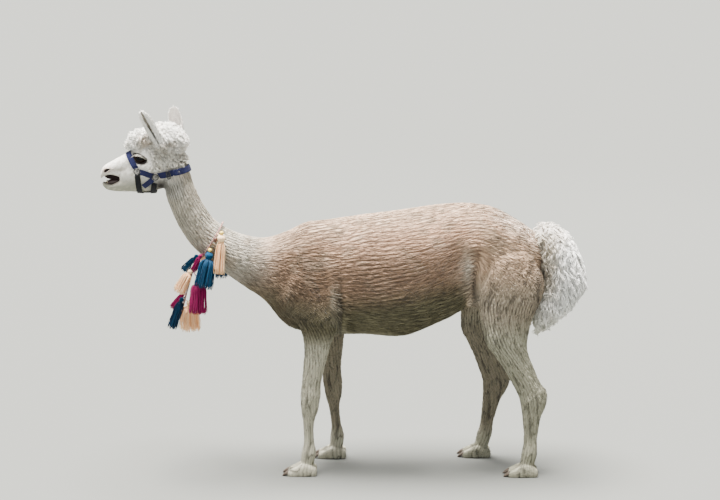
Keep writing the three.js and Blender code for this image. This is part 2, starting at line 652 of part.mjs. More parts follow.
// Halter.
const webbing = shell(STRAP.lift, STRAP.lift + STRAP.thick);
const strap = (name) => strip(STRAPS[name]).intersect(webbing);
for (const name of ['noseband_upper', 'noseband_lower', 'crown']) add(`halter_${name}`, strap(name), 'navy');
add('halter_throat', without(strap('throat'), strip(STRAPS.tab, GAP)), 'black');
for (const [name, side] of Object.entries(SIDES)) {
  add(`halter_cheek_${name}`, strap('cheek').intersect(sideBlock(side)), 'navy');
  add(`halter_ring_nose_${name}`, sideRing(NOSE_RING, side), 'steel');
  add(`halter_ring_cheek_${name}`, sideRing(CHEEK_RING, side), 'steel');
}
add('halter_tab', strap('tab').intersect(sideBlock(SIDES.left)), 'navy');
const { from, to, half, top, bottom } = CHIN_LINK;
const linkBox = new THREE.BoxGeometry(to - from, 2 * half, top - bottom);
linkBox.translate((from + to) / 2, 0, (top + bottom) / 2);
add('halter_chin_link', without(solid(linkBox).intersect(webbing), strip(STRAPS.throat, GAP)), 'black');
add('halter_buckle', buckle(), 'steel');

// Garland.
const cord = garland();
add('garland_collar', cord.collar.subtract(bodyGrown), 'cord');
add('garland_drop', cord.drop, 'cord');
let placed = joined(bodyGrown, cord.collar, cord.drop);
for (const [name, made] of Object.entries(TASSELS)) {
  const whole = tassel(made);
  add(`tassel_${name}`, whole.subtract(placed), name.split('_')[0]);
  placed = placed.add(whole);
}

// The origin is the middle of the box's underside, between the feet.
const box = new THREE.Box3().setFromObject(animal);
animal.position.set(-(box.min.x + box.max.x) / 2, -(box.min.y + box.max.y) / 2, -box.min.z);
const alpaca = new THREE.Group();
alpaca.name = 'alpaca';
alpaca.add(animal);

export default alpaca;
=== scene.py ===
"""A life-size standing alpaca, freshly shorn, with its tail and topknot left long, in a webbing halter and a
garland of wool tassels. Metres, +Z up; the animal faces -X and its left side is -Y. The tables of sections
are measured from the animal's own middle and moved to the frame's origin by SHIFT."""

import bmesh
import bpy
import mathutils
import numpy as np
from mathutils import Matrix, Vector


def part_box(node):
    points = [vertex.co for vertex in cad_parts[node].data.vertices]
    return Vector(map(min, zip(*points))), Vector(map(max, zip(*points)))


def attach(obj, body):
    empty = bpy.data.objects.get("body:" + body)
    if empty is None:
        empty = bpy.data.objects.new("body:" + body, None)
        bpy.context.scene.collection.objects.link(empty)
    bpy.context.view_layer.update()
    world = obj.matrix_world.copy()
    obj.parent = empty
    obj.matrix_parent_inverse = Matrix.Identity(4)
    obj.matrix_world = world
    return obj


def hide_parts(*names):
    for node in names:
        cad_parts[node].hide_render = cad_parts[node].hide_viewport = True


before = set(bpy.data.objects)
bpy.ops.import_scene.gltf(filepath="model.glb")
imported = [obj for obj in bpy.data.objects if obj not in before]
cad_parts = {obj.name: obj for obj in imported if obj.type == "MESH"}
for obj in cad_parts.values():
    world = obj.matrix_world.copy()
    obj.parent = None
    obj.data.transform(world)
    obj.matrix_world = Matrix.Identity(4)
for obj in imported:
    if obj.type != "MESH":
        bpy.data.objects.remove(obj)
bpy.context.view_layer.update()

# ---------------------------------------------------------------- camera, floor and light
# A long lens looks down on the animal's left side, aimed a little under the level of its withers. The room is
# a plain pale floor under one strong soft light from above, with much weaker ones in front and behind.
STAND_OFF = 5.5
LOOK_DOWN = np.radians(13)
AIM = np.array([0.0513, 0, 0.8023])
LENS = 78.1

lens = bpy.data.cameras.new("camera")
lens.lens = LENS
lens.sensor_width = 36
camera = bpy.data.objects.new("camera", lens)
camera.location = AIM + STAND_OFF * np.array([0, -np.cos(LOOK_DOWN), np.sin(LOOK_DOWN)])
camera.rotation_euler = (np.pi / 2 - LOOK_DOWN, 0, 0)
bpy.context.scene.collection.objects.link(camera)
bpy.context.scene.camera = camera


def area_light(name, place, aim, size, power, colour):
    """A square soft light at a place, turned to face a point."""
    light = bpy.data.lights.new(name, "AREA")
    light.size = size
    light.energy = power
    light.color = colour
    lamp = bpy.data.objects.new(name, light)
    lamp.location = place
    way = mathutils.Vector(aim) - mathutils.Vector(place)
    lamp.rotation_euler = way.to_track_quat("-Z", "Y").to_euler()
    bpy.context.scene.collection.objects.link(lamp)


area_light("fill", (-2.5, -5.5, 2.4), (0, 0, 0.8), 3.5, 78, (0.95, 0.98, 1))
area_light("back", (2.5, 4.5, 3.2), (0, 0, 0.8), 3.0, 90, (1, 0.98, 0.95))

sun = bpy.data.lights.new("sky", "SUN")
sun.energy = 29.5
sun.angle = np.radians(36)
sun.color = (1, 0.972, 0.925)
sky = bpy.data.objects.new("sky", sun)
sky.rotation_euler = mathutils.Vector((0.08, -0.06, -1)).to_track_quat("-Z", "Y").to_euler()
bpy.context.scene.collection.objects.link(sky)

world = bpy.data.worlds.new("room")
world.use_nodes = True
world.node_tree.nodes["Background"].inputs["Color"].default_value = (0.80, 0.84, 0.88, 1)
world.node_tree.nodes["Background"].inputs["Strength"].default_value = 0.32
bpy.context.scene.world = world


def mesh_of(name, points, *faces):
    """A mesh from an array of points and arrays of corner numbers, one array for each number of corners. If
    the volume inside comes out negative, the faces are turned over."""
    points = np.asarray(points, float)
    fans = np.concatenate([f[:, [0, k, k + 1]] for f in faces for k in range(1, f.shape[1] - 1)])
    a, b, c = (points[fans[:, k]] - points.mean(axis=0) for k in range(3))
    if (a * np.cross(b, c)).sum() < 0:
        faces = [f[:, ::-1] for f in faces]
    corners = np.concatenate([f.ravel() for f in faces]).astype(np.int32)
    sizes = np.concatenate([np.full(len(f), f.shape[1]) for f in faces])
    starts = np.concatenate([[0], np.cumsum(sizes)[:-1]]).astype(np.int32)
    mesh = bpy.data.meshes.new(name)
    mesh.vertices.add(len(points))
    mesh.loops.add(len(corners))
    mesh.polygons.add(len(sizes))
    mesh.vertices.foreach_set("co", np.asarray(points, np.float32).ravel())
    mesh.loops.foreach_set("vertex_index", corners)
    mesh.polygons.foreach_set("loop_start", starts)
    mesh.update(calc_edges=True)
    mesh.shade_smooth()
    return mesh


def shown(mesh, material=None):
    """The mesh as an object of its own name, at the origin."""
    thing = bpy.data.objects.new(mesh.name, mesh)
    bpy.context.scene.collection.objects.link(thing)
    if material:
        mesh.materials.append(material)
    return thing


def finish_of(name, colour, roughness, **constants):
    """A material with one principled shader; constants are the sockets that are the same all over."""
    material = bpy.data.materials.new(name)
    material.use_nodes = True
    shader = material.node_tree.nodes["Principled BSDF"]
    shader.inputs["Base Color"].default_value = (*colour, 1)
    shader.inputs["Roughness"].default_value = roughness
    for socket, value in constants.items():
        shader.inputs[socket.replace("_", " ")].default_value = value
    return material


FLOOR_HALF = 40
floor_corners = FLOOR_HALF * np.array([[-1, -1, 0], [1, -1, 0], [1, 1, 0], [-1, 1, 0]])
floor_paint = finish_of("floor_paint", (0.135, 0.14, 0.13), 0.9)
floor = shown(mesh_of("floor", floor_corners, np.array([[0, 1, 2, 3]])), floor_paint)

# ---------------------------------------------------------------- the garland's cord
# A braided cord of three cotton strands, six millimetres thick, is tied round the root of the neck. It lies
# against the neck's top and sides, and from there hangs free under the throat in one loop.
EYE_X = -0.702
SHIFT = np.array([sum(corner[0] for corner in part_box("eye_left")) / 2 - EYE_X, 0, 0])

# Sections of neck and trunk, from behind the skull to the root of the tail: crest x and z, underside x and z,
# half the width, the share of the height at which it is widest, and how square it is (2 is an ellipse).
BODY = np.array([
    (-0.558, 1.145, -0.633, 1.034, 0.047, 0.50, 2.0),
    (-0.539, 1.095, -0.622, 0.992, 0.048, 0.50, 2.0),
    (-0.522, 1.042, -0.605, 0.942, 0.050, 0.50, 2.0),
    (-0.492, 0.975, -0.582, 0.889, 0.052, 0.50, 2.0),
    (-0.447, 0.912, -0.540, 0.822, 0.056, 0.50, 2.0),
    (-0.378, 0.870, -0.466, 0.752, 0.065, 0.50, 2.0),
    (-0.288, 0.850, -0.368, 0.679, 0.084, 0.50, 2.0),
    (-0.206, 0.870, -0.286, 0.621, 0.100, 0.50, 2.1),
    (-0.137, 0.903, -0.199, 0.527, 0.113, 0.50, 2.1),
    (-0.049, 0.916, -0.069, 0.496, 0.129, 0.46, 2.2),
    (0.063, 0.931, 0.063, 0.498, 0.147, 0.45, 2.3),
    (0.203, 0.948, 0.206, 0.493, 0.151, 0.45, 2.3),
    (0.336, 0.967, 0.341, 0.543, 0.137, 0.50, 2.3),
    (0.434, 0.972, 0.447, 0.598, 0.125, 0.55, 2.3),
    (0.518, 0.958, 0.543, 0.619, 0.121, 0.58, 2.3),
    (0.596, 0.920, 0.631, 0.619, 0.107, 0.60, 2.2),
    (0.656, 0.880, 0.686, 0.659, 0.084, 0.60, 2.1),
])


def through(rows, t):
    """A smooth curve through the rows of a table at shares t from 0 to 1: between two rows a cubic whose
    slope at each row is half the step between its neighbours. Past its ends the table goes on straight."""
    rows = np.asarray(rows, float)
    rows = np.vstack([2 * rows[0] - rows[1], rows, 2 * rows[-1] - rows[-2]])
    place = np.clip(np.asarray(t, float), 0, 1) * (len(rows) - 3)
    first = np.minimum(place.astype(int), len(rows) - 4)
    share = (place - first)[..., None]
    a, b, c, d = (rows[first + k] for k in range(4))
    return b + share / 2 * (c - a + share * (2 * a - 5 * b + 4 * c - d + share * (3 * (b - c) + d - a)))


def section(rows, t, angle, grow):
    """Points of a form's surface. angle turns from the animal's right side over the crest: the point is the
    middle, plus the way to crest or underside times the sine, plus the half width times the cosine, both
    raised to 2 / squareness. grow moves it outwards."""
    at = through(rows, t)
    crest = np.stack([at[..., 0], at[..., 7] if at.shape[-1] > 7 else 0 * at[..., 0], at[..., 1]], -1)
    under = np.stack([at[..., 2], crest[..., 1], at[..., 3]], -1)
    middle = under + (crest - under) * at[..., 5, None]
    power = 2 / at[..., 6]
    sine, cosine = np.sin(angle), np.cos(angle)
    edge = np.where((sine >= 0)[..., None], crest, under) - middle
    reach = np.maximum(np.linalg.norm(edge, axis=-1), 0.001)
    along = np.abs(sine) ** power * (1 + grow / reach)
    across = np.sign(cosine) * np.abs(cosine) ** power * (at[..., 4] + grow)
    return middle + edge * along[..., None] + across[..., None] * np.array([0, 1, 0])


def unit(vectors):
    """The vectors at a length of 1."""
    return vectors / np.maximum(np.linalg.norm(vectors, axis=-1, keepdims=True), 1e-9)


def strands(paths, radii, sides):
    """Round strands along many paths at once, paths as strand x point x 3 and radii as strand x point: at
    each point a ring of sides corners stands square to the path, turned evenly by a fixed sideways axis.
    Both ends are closed."""
    paths = np.asarray(paths, float)
    count, rings = paths.shape[:2]
    way = unit(np.gradient(paths, axis=1))
    mean = way.mean(axis=1)
    aside = np.eye(3)[np.abs(mean).argmin(axis=1)][:, None, :]
    first = unit(np.cross(way, aside))
    second = np.cross(way, first)
    turn = np.arange(sides) / sides * 2 * np.pi
    rim = np.cos(turn)[:, None] * first[:, :, None, :] + np.sin(turn)[:, None] * second[:, :, None, :]
    points = paths[:, :, None, :] + rim * np.broadcast_to(radii, (count, rings))[:, :, None, None]
    number = np.arange(count * rings * sides).reshape(count, rings, sides)
    after = np.roll(number, -1, axis=2)
    quads = np.stack([number[:, :-1], number[:, 1:], after[:, 1:], after[:, :-1]], -1).reshape(-1, 4)
    return points.reshape(-1, 3), quads, number[:, 0], number[:, -1, ::-1]


def joined(*shells):
    """Several (points, faces...) lists as one, with their corner numbers moved on."""
    points, faces, start = [], {}, 0
    for own, *own_faces in shells:
        for f in own_faces:
            faces.setdefault(f.shape[1], []).append(f + start)
        points.append(own)
        start += len(own)
    return np.concatenate(points), *[np.concatenate(f) for f in faces.values()]


CORD = 0.006
COLLAR_LEAVE = 0.28 * np.pi  # how far below each side of the neck the cord leaves it
COLLAR_AT = (-0.427, 0.897)  # x and z of the collar's top, and how far its plane leans forwards
COLLAR_LEAN = 0.62


def on_neck(angle, lift=0.006):
    """Where the cord's leaning plane meets the neck at an angle of its sections: the first of a fine row."""
    t = np.linspace(0.1, 0.6, 4001)
    row = section(BODY, t, np.full_like(t, angle), lift)
    past = row[:, 0] - COLLAR_AT[0] - COLLAR_LEAN * (row[:, 2] - COLLAR_AT[1]) >= 0
    return row[np.argmax(past)]


# The left half of the free loop, from under the collar down to its lowest point on the centre plane.
DROP_LEFT = np.array([
    (-0.512, -0.037, 0.771),
    (-0.525, -0.034, 0.749),
    (-0.535, -0.030, 0.726),
    (-0.543, -0.026, 0.702),
    (-0.550, -0.022, 0.677),
    (-0.557, -0.018, 0.653),
    (-0.564, -0.0165, 0.628),
    (-0.570, -0.015, 0.604),
    (-0.573, -0.0095, 0.5935),
    (-0.574, 0.000, 0.590),
])
MIRROR = np.array([1, -1, 1])
collar_points = np.array([on_neck(a) for a in np.linspace(-COLLAR_LEAVE, np.pi + COLLAR_LEAVE, 9)])
drop_points = np.vstack([collar_points[-1], DROP_LEFT, DROP_LEFT[-2::-1] * MIRROR, collar_points[0]]) + SHIFT
collar_points = np.vstack([drop_points[-2], collar_points + SHIFT, drop_points[1]])


def travel(path):
    """The distance along a path at each of its points."""
    return np.concatenate([[0], np.cumsum(np.linalg.norm(np.diff(path, axis=0), axis=1))])


def evenly(points, count):
    """The curve through the points, at count places the same distance apart."""
    fine = through(points, np.linspace(0, 1, 2000))
    run = travel(fine)
    return np.stack([np.interp(np.linspace(0, run[-1], count), run, fine[:, k]) for k in range(3)], 1)


def braid(path, width, lay=0.016):
    """Three strands laid round each other along a path: each is a helix at 0.22 of the width from it, one
    turn for each lay, and as thick as leaves the braid its full width."""
    way = unit(np.gradient(path, axis=0))
    side = unit(np.cross(way, [0.31, 0.95, 0.05]))
    up = np.cross(way, side)
    turn = travel(path)[None, :] / lay * 2 * np.pi + np.arange(3)[:, None] * 2 * np.pi / 3
    swing = 0.22 * width
    paths = path + swing * (np.cos(turn)[..., None] * side + np.sin(turn)[..., None] * up)
    return strands(paths, width / 2 - swing, sides=8)


def node(tree, kind, inputs, **settings):
    """A shader node with its settings; an input is a number, a colour or another node's output."""
    made = tree.nodes.new("ShaderNode" + kind)
    for key, value in settings.items():
        setattr(made, key, value)
    for key, value in inputs.items():
        if isinstance(value, bpy.types.NodeSocket):
            tree.links.new(value, made.inputs[key])
        else:
            made.inputs[key].default_value = value
    return made


def noise(tree, scale, detail, place=None):
    """A noise on Object coordinates, or on another place."""
    if place is None:
        place = node(tree, "TexCoord", {}).outputs["Object"]
    return node(tree, "TexNoise", {"Vector": place, "Scale": scale, "Detail": detail}).outputs["Fac"]


def shades(tree, factor, *stops):
    """A colour between two stops, each a place and a colour, by a factor."""
    ramp = node(tree, "ValToRGB", {"Fac": factor})
    for element, (place, colour) in zip(ramp.color_ramp.elements, stops):
        element.position = place
        element.color = (*colour, 1)
    return ramp.outputs["Color"]


def led(material, colour, height=None, strength=1.0, distance=1.0):
    """The material with a colour led to its shader, and a height to a bump of some strength and distance."""
    tree = material.node_tree
    shader = tree.nodes["Principled BSDF"]
    tree.links.new(colour, shader.inputs["Base Color"])
    if height is not None:
        bump = node(tree, "Bump", {"Strength": strength, "Distance": distance, "Height": height})
        tree.links.new(bump.outputs[0], shader.inputs["Normal"])
    return material


def streaked(name, dark, light, scale, roughness, bump=0.2, sheen=0.0):
    """Yarn, wood, horn or flesh: a noise on Object coordinates mixes dark and light of the colour, and a
    finer one raises the grain."""
    material = finish_of(name, dark, roughness, Sheen_Weight=sheen)
    tree = material.node_tree
    mixed = shades(tree, noise(tree, scale, 5), (0.3, dark), (0.7, light))
    return led(material, mixed, noise(tree, scale * 6, 2), bump, 0.0006)


def piece(mesh, material, slot, *nodes):
    """The mesh as a piece of the model: it rides the root and stands for nodes of the part; slot is not used.
    """
    thing = shown(mesh, material)
    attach(thing, "root")
    if nodes:
        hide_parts(*nodes)
    return thing


cord_cotton = streaked("cord_cotton", (0.16, 0.05, 0.045), (0.50, 0.30, 0.26), 160, 0.85, 0.4, 0.3)
drop_path = evenly(drop_points, 200)
drop = mesh_of("garland_cord_drop", *braid(drop_path, CORD))
garland_drop = piece(drop, cord_cotton, "cord", "garland_drop")
collar_path = evenly(collar_points, 260)[16:-16]
piece(mesh_of("garland_cord_collar", *braid(collar_path, CORD)), cord_cotton, "cord", "garland_collar")

# ---------------------------------------------------------------- the skin
# One hide covers trunk, neck, head, ears and legs. It is made from closed forms along the spine and down each
# limb, smaller than the solids by the coat's depth, melted into one, and then given its muscles and folds.
HEAD = np.array([
    (-0.558, 1.137, -0.621, 1.020, 0.048, 0.55, 2.0),
    (-0.585, 1.183, -0.642, 1.010, 0.054, 0.60, 2.1),
    (-0.626, 1.201, -0.677, 1.007, 0.057, 0.62, 2.2),
    (-0.675, 1.195, -0.712, 1.008, 0.055, 0.64, 2.3),
    (-0.713, 1.173, -0.739, 1.010, 0.046, 0.62, 2.3),
    (-0.752, 1.151, -0.769, 1.011, 0.036, 0.58, 2.3),
    (-0.788, 1.132, -0.798, 1.012, 0.031, 0.55, 2.3),
    (-0.816, 1.117, -0.821, 1.017, 0.029, 0.55, 2.4),
    (-0.836, 1.103, -0.838, 1.030, 0.024, 0.55, 2.3),
])
# The muzzle is two forms, since the mouth is a little open: nose with upper lip, and lower jaw.
NOSE = np.array([
    (-0.725, 1.166, -0.745, 1.058, 0.040, 0.55, 2.2),
    (-0.752, 1.151, -0.769, 1.055, 0.036, 0.52, 2.3),
    (-0.785, 1.134, -0.795, 1.064, 0.031, 0.45, 2.3),
    (-0.810, 1.120, -0.816, 1.0705, 0.0295, 0.42, 2.3),
    (-0.828, 1.110, -0.834, 1.066, 0.0275, 0.42, 2.2),
    (-0.838, 1.101, -0.843, 1.056, 0.022, 0.45, 2.1),
])
JAW = np.array([
    (-0.725, 1.085, -0.745, 1.010, 0.038, 0.60, 2.2),
    (-0.762, 1.067, -0.772, 1.010, 0.033, 0.60, 2.2),
    (-0.788, 1.052, -0.796, 1.011, 0.028, 0.62, 2.2),
    (-0.808, 1.0435, -0.811, 1.013, 0.0245, 0.62, 2.1),
    (-0.824, 1.0455, -0.826, 1.017, 0.0215, 0.62, 2.0),
    (-0.835, 1.0500, -0.837, 1.026, 0.0165, 0.62, 2.0),
])
# Legs, top first: height, front and back edge, the middle's distance from the centre plane, half the width.
FORELEG = np.array([
    (0.722, -0.214, -0.062, 0.080, 0.043),
    (0.645, -0.216, -0.040, 0.084, 0.048),
    (0.585, -0.190, -0.020, 0.084, 0.047),
    (0.545, -0.160, -0.020, 0.084, 0.043),
    (0.470, -0.144, -0.046, 0.085, 0.036),
    (0.350, -0.152, -0.076, 0.087, 0.031),
    (0.290, -0.156, -0.082, 0.088, 0.031),
    (0.240, -0.156, -0.090, 0.089, 0.027),
    (0.195, -0.150, -0.102, 0.090, 0.022),
    (0.130, -0.148, -0.103, 0.090, 0.021),
    (0.086, -0.154, -0.098, 0.090, 0.025),
    (0.020, -0.166, -0.106, 0.090, 0.023),
])
HINDLEG = np.array([
    (0.792, 0.466, 0.662, 0.076, 0.050),
    (0.720, 0.463, 0.698, 0.082, 0.055),
    (0.650, 0.466, 0.694, 0.085, 0.055),
    (0.575, 0.473, 0.664, 0.087, 0.050),
    (0.500, 0.494, 0.648, 0.090, 0.044),
    (0.450, 0.523, 0.652, 0.092, 0.039),
    (0.400, 0.556, 0.671, 0.094, 0.034),
    (0.350, 0.585, 0.694, 0.096, 0.030),
    (0.300, 0.611, 0.718, 0.098, 0.028),
    (0.262, 0.621, 0.716, 0.099, 0.027),
    (0.215, 0.628, 0.700, 0.100, 0.024),
    (0.140, 0.634, 0.690, 0.100, 0.021),
    (0.090, 0.630, 0.690, 0.100, 0.025),
    (0.020, 0.618, 0.680, 0.100, 0.023),
])
SIDES = {"left": -1, "right": 1}
# kind: its rows, how far the right foot is moved along x, the height from which it is, and the heel's x.
LEGS = {
    "foreleg": (FORELEG, 0.104, 0.760, -0.098),
    "hindleg": (HINDLEG, -0.152, 0.810, 0.690),
}
TOE_SPREAD, TOE_HALF, TOE_LENGTH, TOE_HEIGHT = 0.017, 0.0155, 0.112, 0.046


def stride_at(kind, side, high):
    """How far the stance moves a limb along x at a height: the whole stride for the right foot, and less
    above it, falling with the power 1.35 of the height down to nothing at the pivot."""
    _, stride, pivot, _ = LEGS[kind]
    return np.where(side > 0, stride * np.maximum(0, 1 - (high / pivot) ** 1.35), 0)


def standing(kind, side):
    """A limb's rows in the terms of the body, in its stance."""
    high, front, back, aside, half = LEGS[kind][0].T
    shift = stride_at(kind, side, high)
    same = np.ones_like(high)
    return np.stack([front + shift, high, back + shift, high, half, 0.5 * same, 2.1 * same, side * aside], 1)


def toe_at(kind, side, outer):
    """Where one of a foot's two toes is in the stance: its heel's x and its middle's y."""
    rows, stride, _, heel = LEGS[kind]
    return heel + (stride if side > 0 else 0), side * rows[-1, 3] + outer * TOE_SPREAD


def toe_rows(kind, side, outer):
    """A toe from its heel forwards, in the terms of the body; its sole is at the floor."""
    heel, y = toe_at(kind, side, outer)
    rows = [(0.04, 0.034, 0.8), (0.42, TOE_HEIGHT, 1.0), (0.86, 0.025, 0.9)]
    return np.array([(heel - share * TOE_LENGTH, top, heel - share * TOE_LENGTH, -0.006, half * TOE_HALF,
                      0.42, 2.5, y) for share, top, half in rows])


def faces_round(count, around, turned=False):
    """Quads between rings of points, and triangles from the end rings to two poles that are numbered after
    them; turned over where the rings run the other way."""
    number = np.arange(count * around).reshape(count, around)
    after = np.roll(number, -1, axis=1)
    quads = np.stack([number[:-1], after[:-1], after[1:], number[1:]], -1).reshape(-1, 4)
    first, last = (np.full(around, count * around + k) for k in (0, 1))
    fans = np.concatenate([
        np.stack([first, after[0], number[0]], 1), np.stack([last, number[-1], after[-1]], 1)])
    return (quads[:, [0, 3, 2, 1]], fans[:, [0, 2, 1]]) if turned else (quads, fans)


def closed_form(rows, rings, around, grow, caps, part=(0, 1)):
    """A closed shell over a part of a form: its rings of sections, and at each end a dome of the depth in
    caps, whose rings shrink by the cosine and move out by the sine of growing angles, down to one point."""
    t = np.linspace(*part, rings)
    turn = np.arange(around) / around * 2 * np.pi
    body = section(rows, t[:, None], turn[None, :], grow)
    layers = [body]
    for end, depth in zip((0, -1), caps):
        middle = body[end].mean(axis=0)
        out = middle - body[4 if end == 0 else -5].mean(axis=0)
        out /= np.linalg.norm(out)
        for bend in np.radians([24, 46, 66, 82]):
            ring = (middle + (body[end] - middle) * np.cos(bend) + out * np.sin(bend) * depth)[None]
            layers = [ring, *layers] if end == 0 else [*layers, ring]
    points = np.concatenate(layers)
    poles = np.array([points[0].mean(axis=0), points[-1].mean(axis=0)])
    return np.concatenate([points.reshape(-1, 3), poles]), *faces_round(len(points), around)


FLEECE_DEPTH, LEG_DEPTH, FACE_DEPTH = 0.006, 0.005, 0.003
head_t = np.linspace(0, 1, 60)[:, None]
poll_depth = 0.014 - 0.011 * np.clip((head_t - 0.15) / 0.4, 0, 1)
forms = [
    closed_form(BODY, 240, 96, -FLEECE_DEPTH, (0.006, 0.022)),
    closed_form(HEAD, 60, 72, -poll_depth, (0.008, 0.01), part=(0, 0.66)),
    closed_form(NOSE, 40, 60, -FACE_DEPTH, (0.01, 0.009)),
    closed_form(JAW, 40, 60, -FACE_DEPTH, (0.01, 0.007)),
]
for kind in LEGS:
    for side in SIDES.values():
        forms.append(closed_form(standing(kind, side), 130, 48, -LEG_DEPTH, (0.045, 0.0)))
        for outer in (-1, 1):
            forms.append(closed_form(toe_rows(kind, side, outer), 24, 28, -0.0015, (0.004, 0.010)))

# Lumps of flesh that fill the corners where forms meet: middle, radii.
LUMPS = [
    ((-0.150, 0.0, 0.640), (0.090, 0.080, 0.090)),
    ((-0.100, 0.0, 0.560), (0.080, 0.075, 0.055)),
    ((0.590, 0.0, 0.720), (0.070, 0.080, 0.110)),
    ((0.470, 0.0, 0.640), (0.060, 0.100, 0.040)),
]


def ball(middle, radii, rings=24, around=36):
    """A closed ellipsoid: rings of circles whose radius is the sine and height the cosine of the ring's
    angle."""
    polar = np.linspace(0, np.pi, rings + 2)[1:-1, None]
    turn = np.arange(around)[None, :] / around * 2 * np.pi
    way = np.stack([np.sin(polar) * np.cos(turn), np.sin(polar) * np.sin(turn), np.cos(polar) + 0 * turn], -1)
    points = np.concatenate([way.reshape(-1, 3), [[0, 0, 1], [0, 0, -1]]])
    return points * radii + middle, *faces_round(rings, around, turned=True)


def placed(name, shell):
    """A mesh from a shell in the animal's own terms, moved to the frame's origin."""
    points, *faces = shell
    return mesh_of(name, points + SHIFT, *faces)


forms += [ball(np.array(middle), np.array(radii)) for middle, radii in LUMPS]
hide = shown(placed("hide", joined(*forms)))
VOXEL = 0.0026
HIDE_TRIANGLES = 150000
melt = hide.modifiers.new("melt", "REMESH")
melt.mode = "VOXEL"
melt.voxel_size = VOXEL


def settle(thing):
    """The object with its modifiers made real in its mesh."""
    ready = bpy.data.meshes.new_from_object(thing.evaluated_get(bpy.context.evaluated_depsgraph_get()))
    old, thing.data = thing.data, ready
    thing.modifiers.clear()
    bpy.data.meshes.remove(old)
    return thing


def numbers(block, key, width, kind=np.float32):
    """An array of one property of all the things in a mesh's block."""
    found = np.empty(len(block) * width, kind)
    block.foreach_get(key, found)
    return found.reshape(-1, width) if width > 1 else found


def points_of(mesh):
    """The places of the mesh's points."""
    return numbers(mesh.vertices, "co", 3).astype(float)


settle(hide)
points = points_of(hide.data)
edges = numbers(hide.data.edges, "vertices", 2, np.int32)


def smoothed(points, edges, rounds, share):
    """Each point moved by a share of the way to the mean of its neighbours, some rounds over."""
    count = len(points)
    start, end = edges.T
    degree = np.maximum(np.bincount(edges.ravel(), minlength=count), 1)[:, None]
    share = np.broadcast_to(np.asarray(share, float).reshape(-1, 1), (count, 1))
    for _ in range(rounds):
        total = np.stack([np.bincount(start, points[end, k], count)
                          + np.bincount(end, points[start, k], count) for k in range(3)], 1)
        points = points + share * (total / degree - points)
    return points


def soft(low, high, value):
    """0 below low, 1 above high, and a smooth cubic step between them."""
    share = np.clip((value - low) / (high - low), 0, 1)
    return share * share * (3 - 2 * share)


# Crotches are rounded most: the tops of the legs and the throat; the face and feet hardly.
x, y, z = (points - SHIFT).T
thick = soft(0.42, 0.50, z) * (1 - soft(0.70, 0.86, z)) * soft(-0.33, -0.25, x)
throat = np.exp(-((x + 0.625) ** 2 + (z - 1.03) ** 2) / 0.035 ** 2)
points = smoothed(points, edges, 24, np.clip(thick + 0.6 * throat, 0, 1) * 0.6)
shelf = np.exp(-((x + 0.19) ** 2 + (z - 0.71) ** 2) / 0.09 ** 2)
shelf += np.exp(-((x - 0.57) ** 2 + (z - 0.82) ** 2) / 0.07 ** 2)
points = smoothed(points, edges, 70, np.clip(shelf, 0, 1) * 0.6)
points = smoothed(points, edges, 6, 0.5)


def swell(points, middle, radii, amount, tilt):
    """How far each point is raised by a rounded swelling on both sides of the body: amount times a bell of
    the distance from the middle in units of the radii, turned by tilt in the side view."""
    away = np.abs(points * [0, 1, 0]) + points * [1, 0, 1] - middle
    cosine, sine = np.cos(tilt), np.sin(tilt)
    x, y, z = away.T
    turned = np.stack([x * cosine + z * sine, y, z * cosine - x * sine], 1)
    return amount * np.exp(-((turned / radii) ** 2).sum(axis=1))


# Muscles, bones and hollows: middle, radii, height, tilt. Those of the legs move with the stance.
TRUNK_RELIEF = [
    ((-0.150, 0.110, 0.700), (0.065, 0.06, 0.120), 0.004, 0.25),  # shoulder blade
    ((-0.215, 0.075, 0.640), (0.045, 0.05, 0.050), 0.007, 0.0),  # point of the shoulder
    ((-0.262, 0.070, 0.770), (0.040, 0.06, 0.085), -0.003, -0.3),  # hollow before the shoulder
    ((-0.060, 0.120, 0.720), (0.022, 0.06, 0.120), -0.002, 0.2),  # behind the blade
    ((-0.008, 0.130, 0.610), (0.010, 0.08, 0.085), -0.010, 0.05),  # fold behind the elbow
    ((-0.030, 0.110, 0.600), (0.016, 0.06, 0.075), 0.007, 0.05),
    ((0.405, 0.120, 0.800), (0.060, 0.06, 0.075), -0.009, -0.4),  # hollow of the flank
    ((0.458, 0.110, 0.845), (0.034, 0.06, 0.026), 0.008, 0.3),  # point of the hip
    ((0.462, 0.130, 0.710), (0.010, 0.08, 0.095), -0.009, -0.05),  # crease before the thigh
    ((0.570, 0.130, 0.730), (0.070, 0.06, 0.100), 0.005, 0.3),  # thigh
    ((0.655, 0.100, 0.700), (0.025, 0.06, 0.110), -0.004, -0.1),
    ((0.150, 0.140, 0.640), (0.130, 0.08, 0.060), 0.004, 0.1),  # barrel
    ((0.000, 0.000, 0.925), (0.300, 0.02, 0.030), -0.002, 0.0),  # along the spine
    ((0.250, 0.000, 0.965), (0.160, 0.03, 0.030), 0.004, 0.1),
]
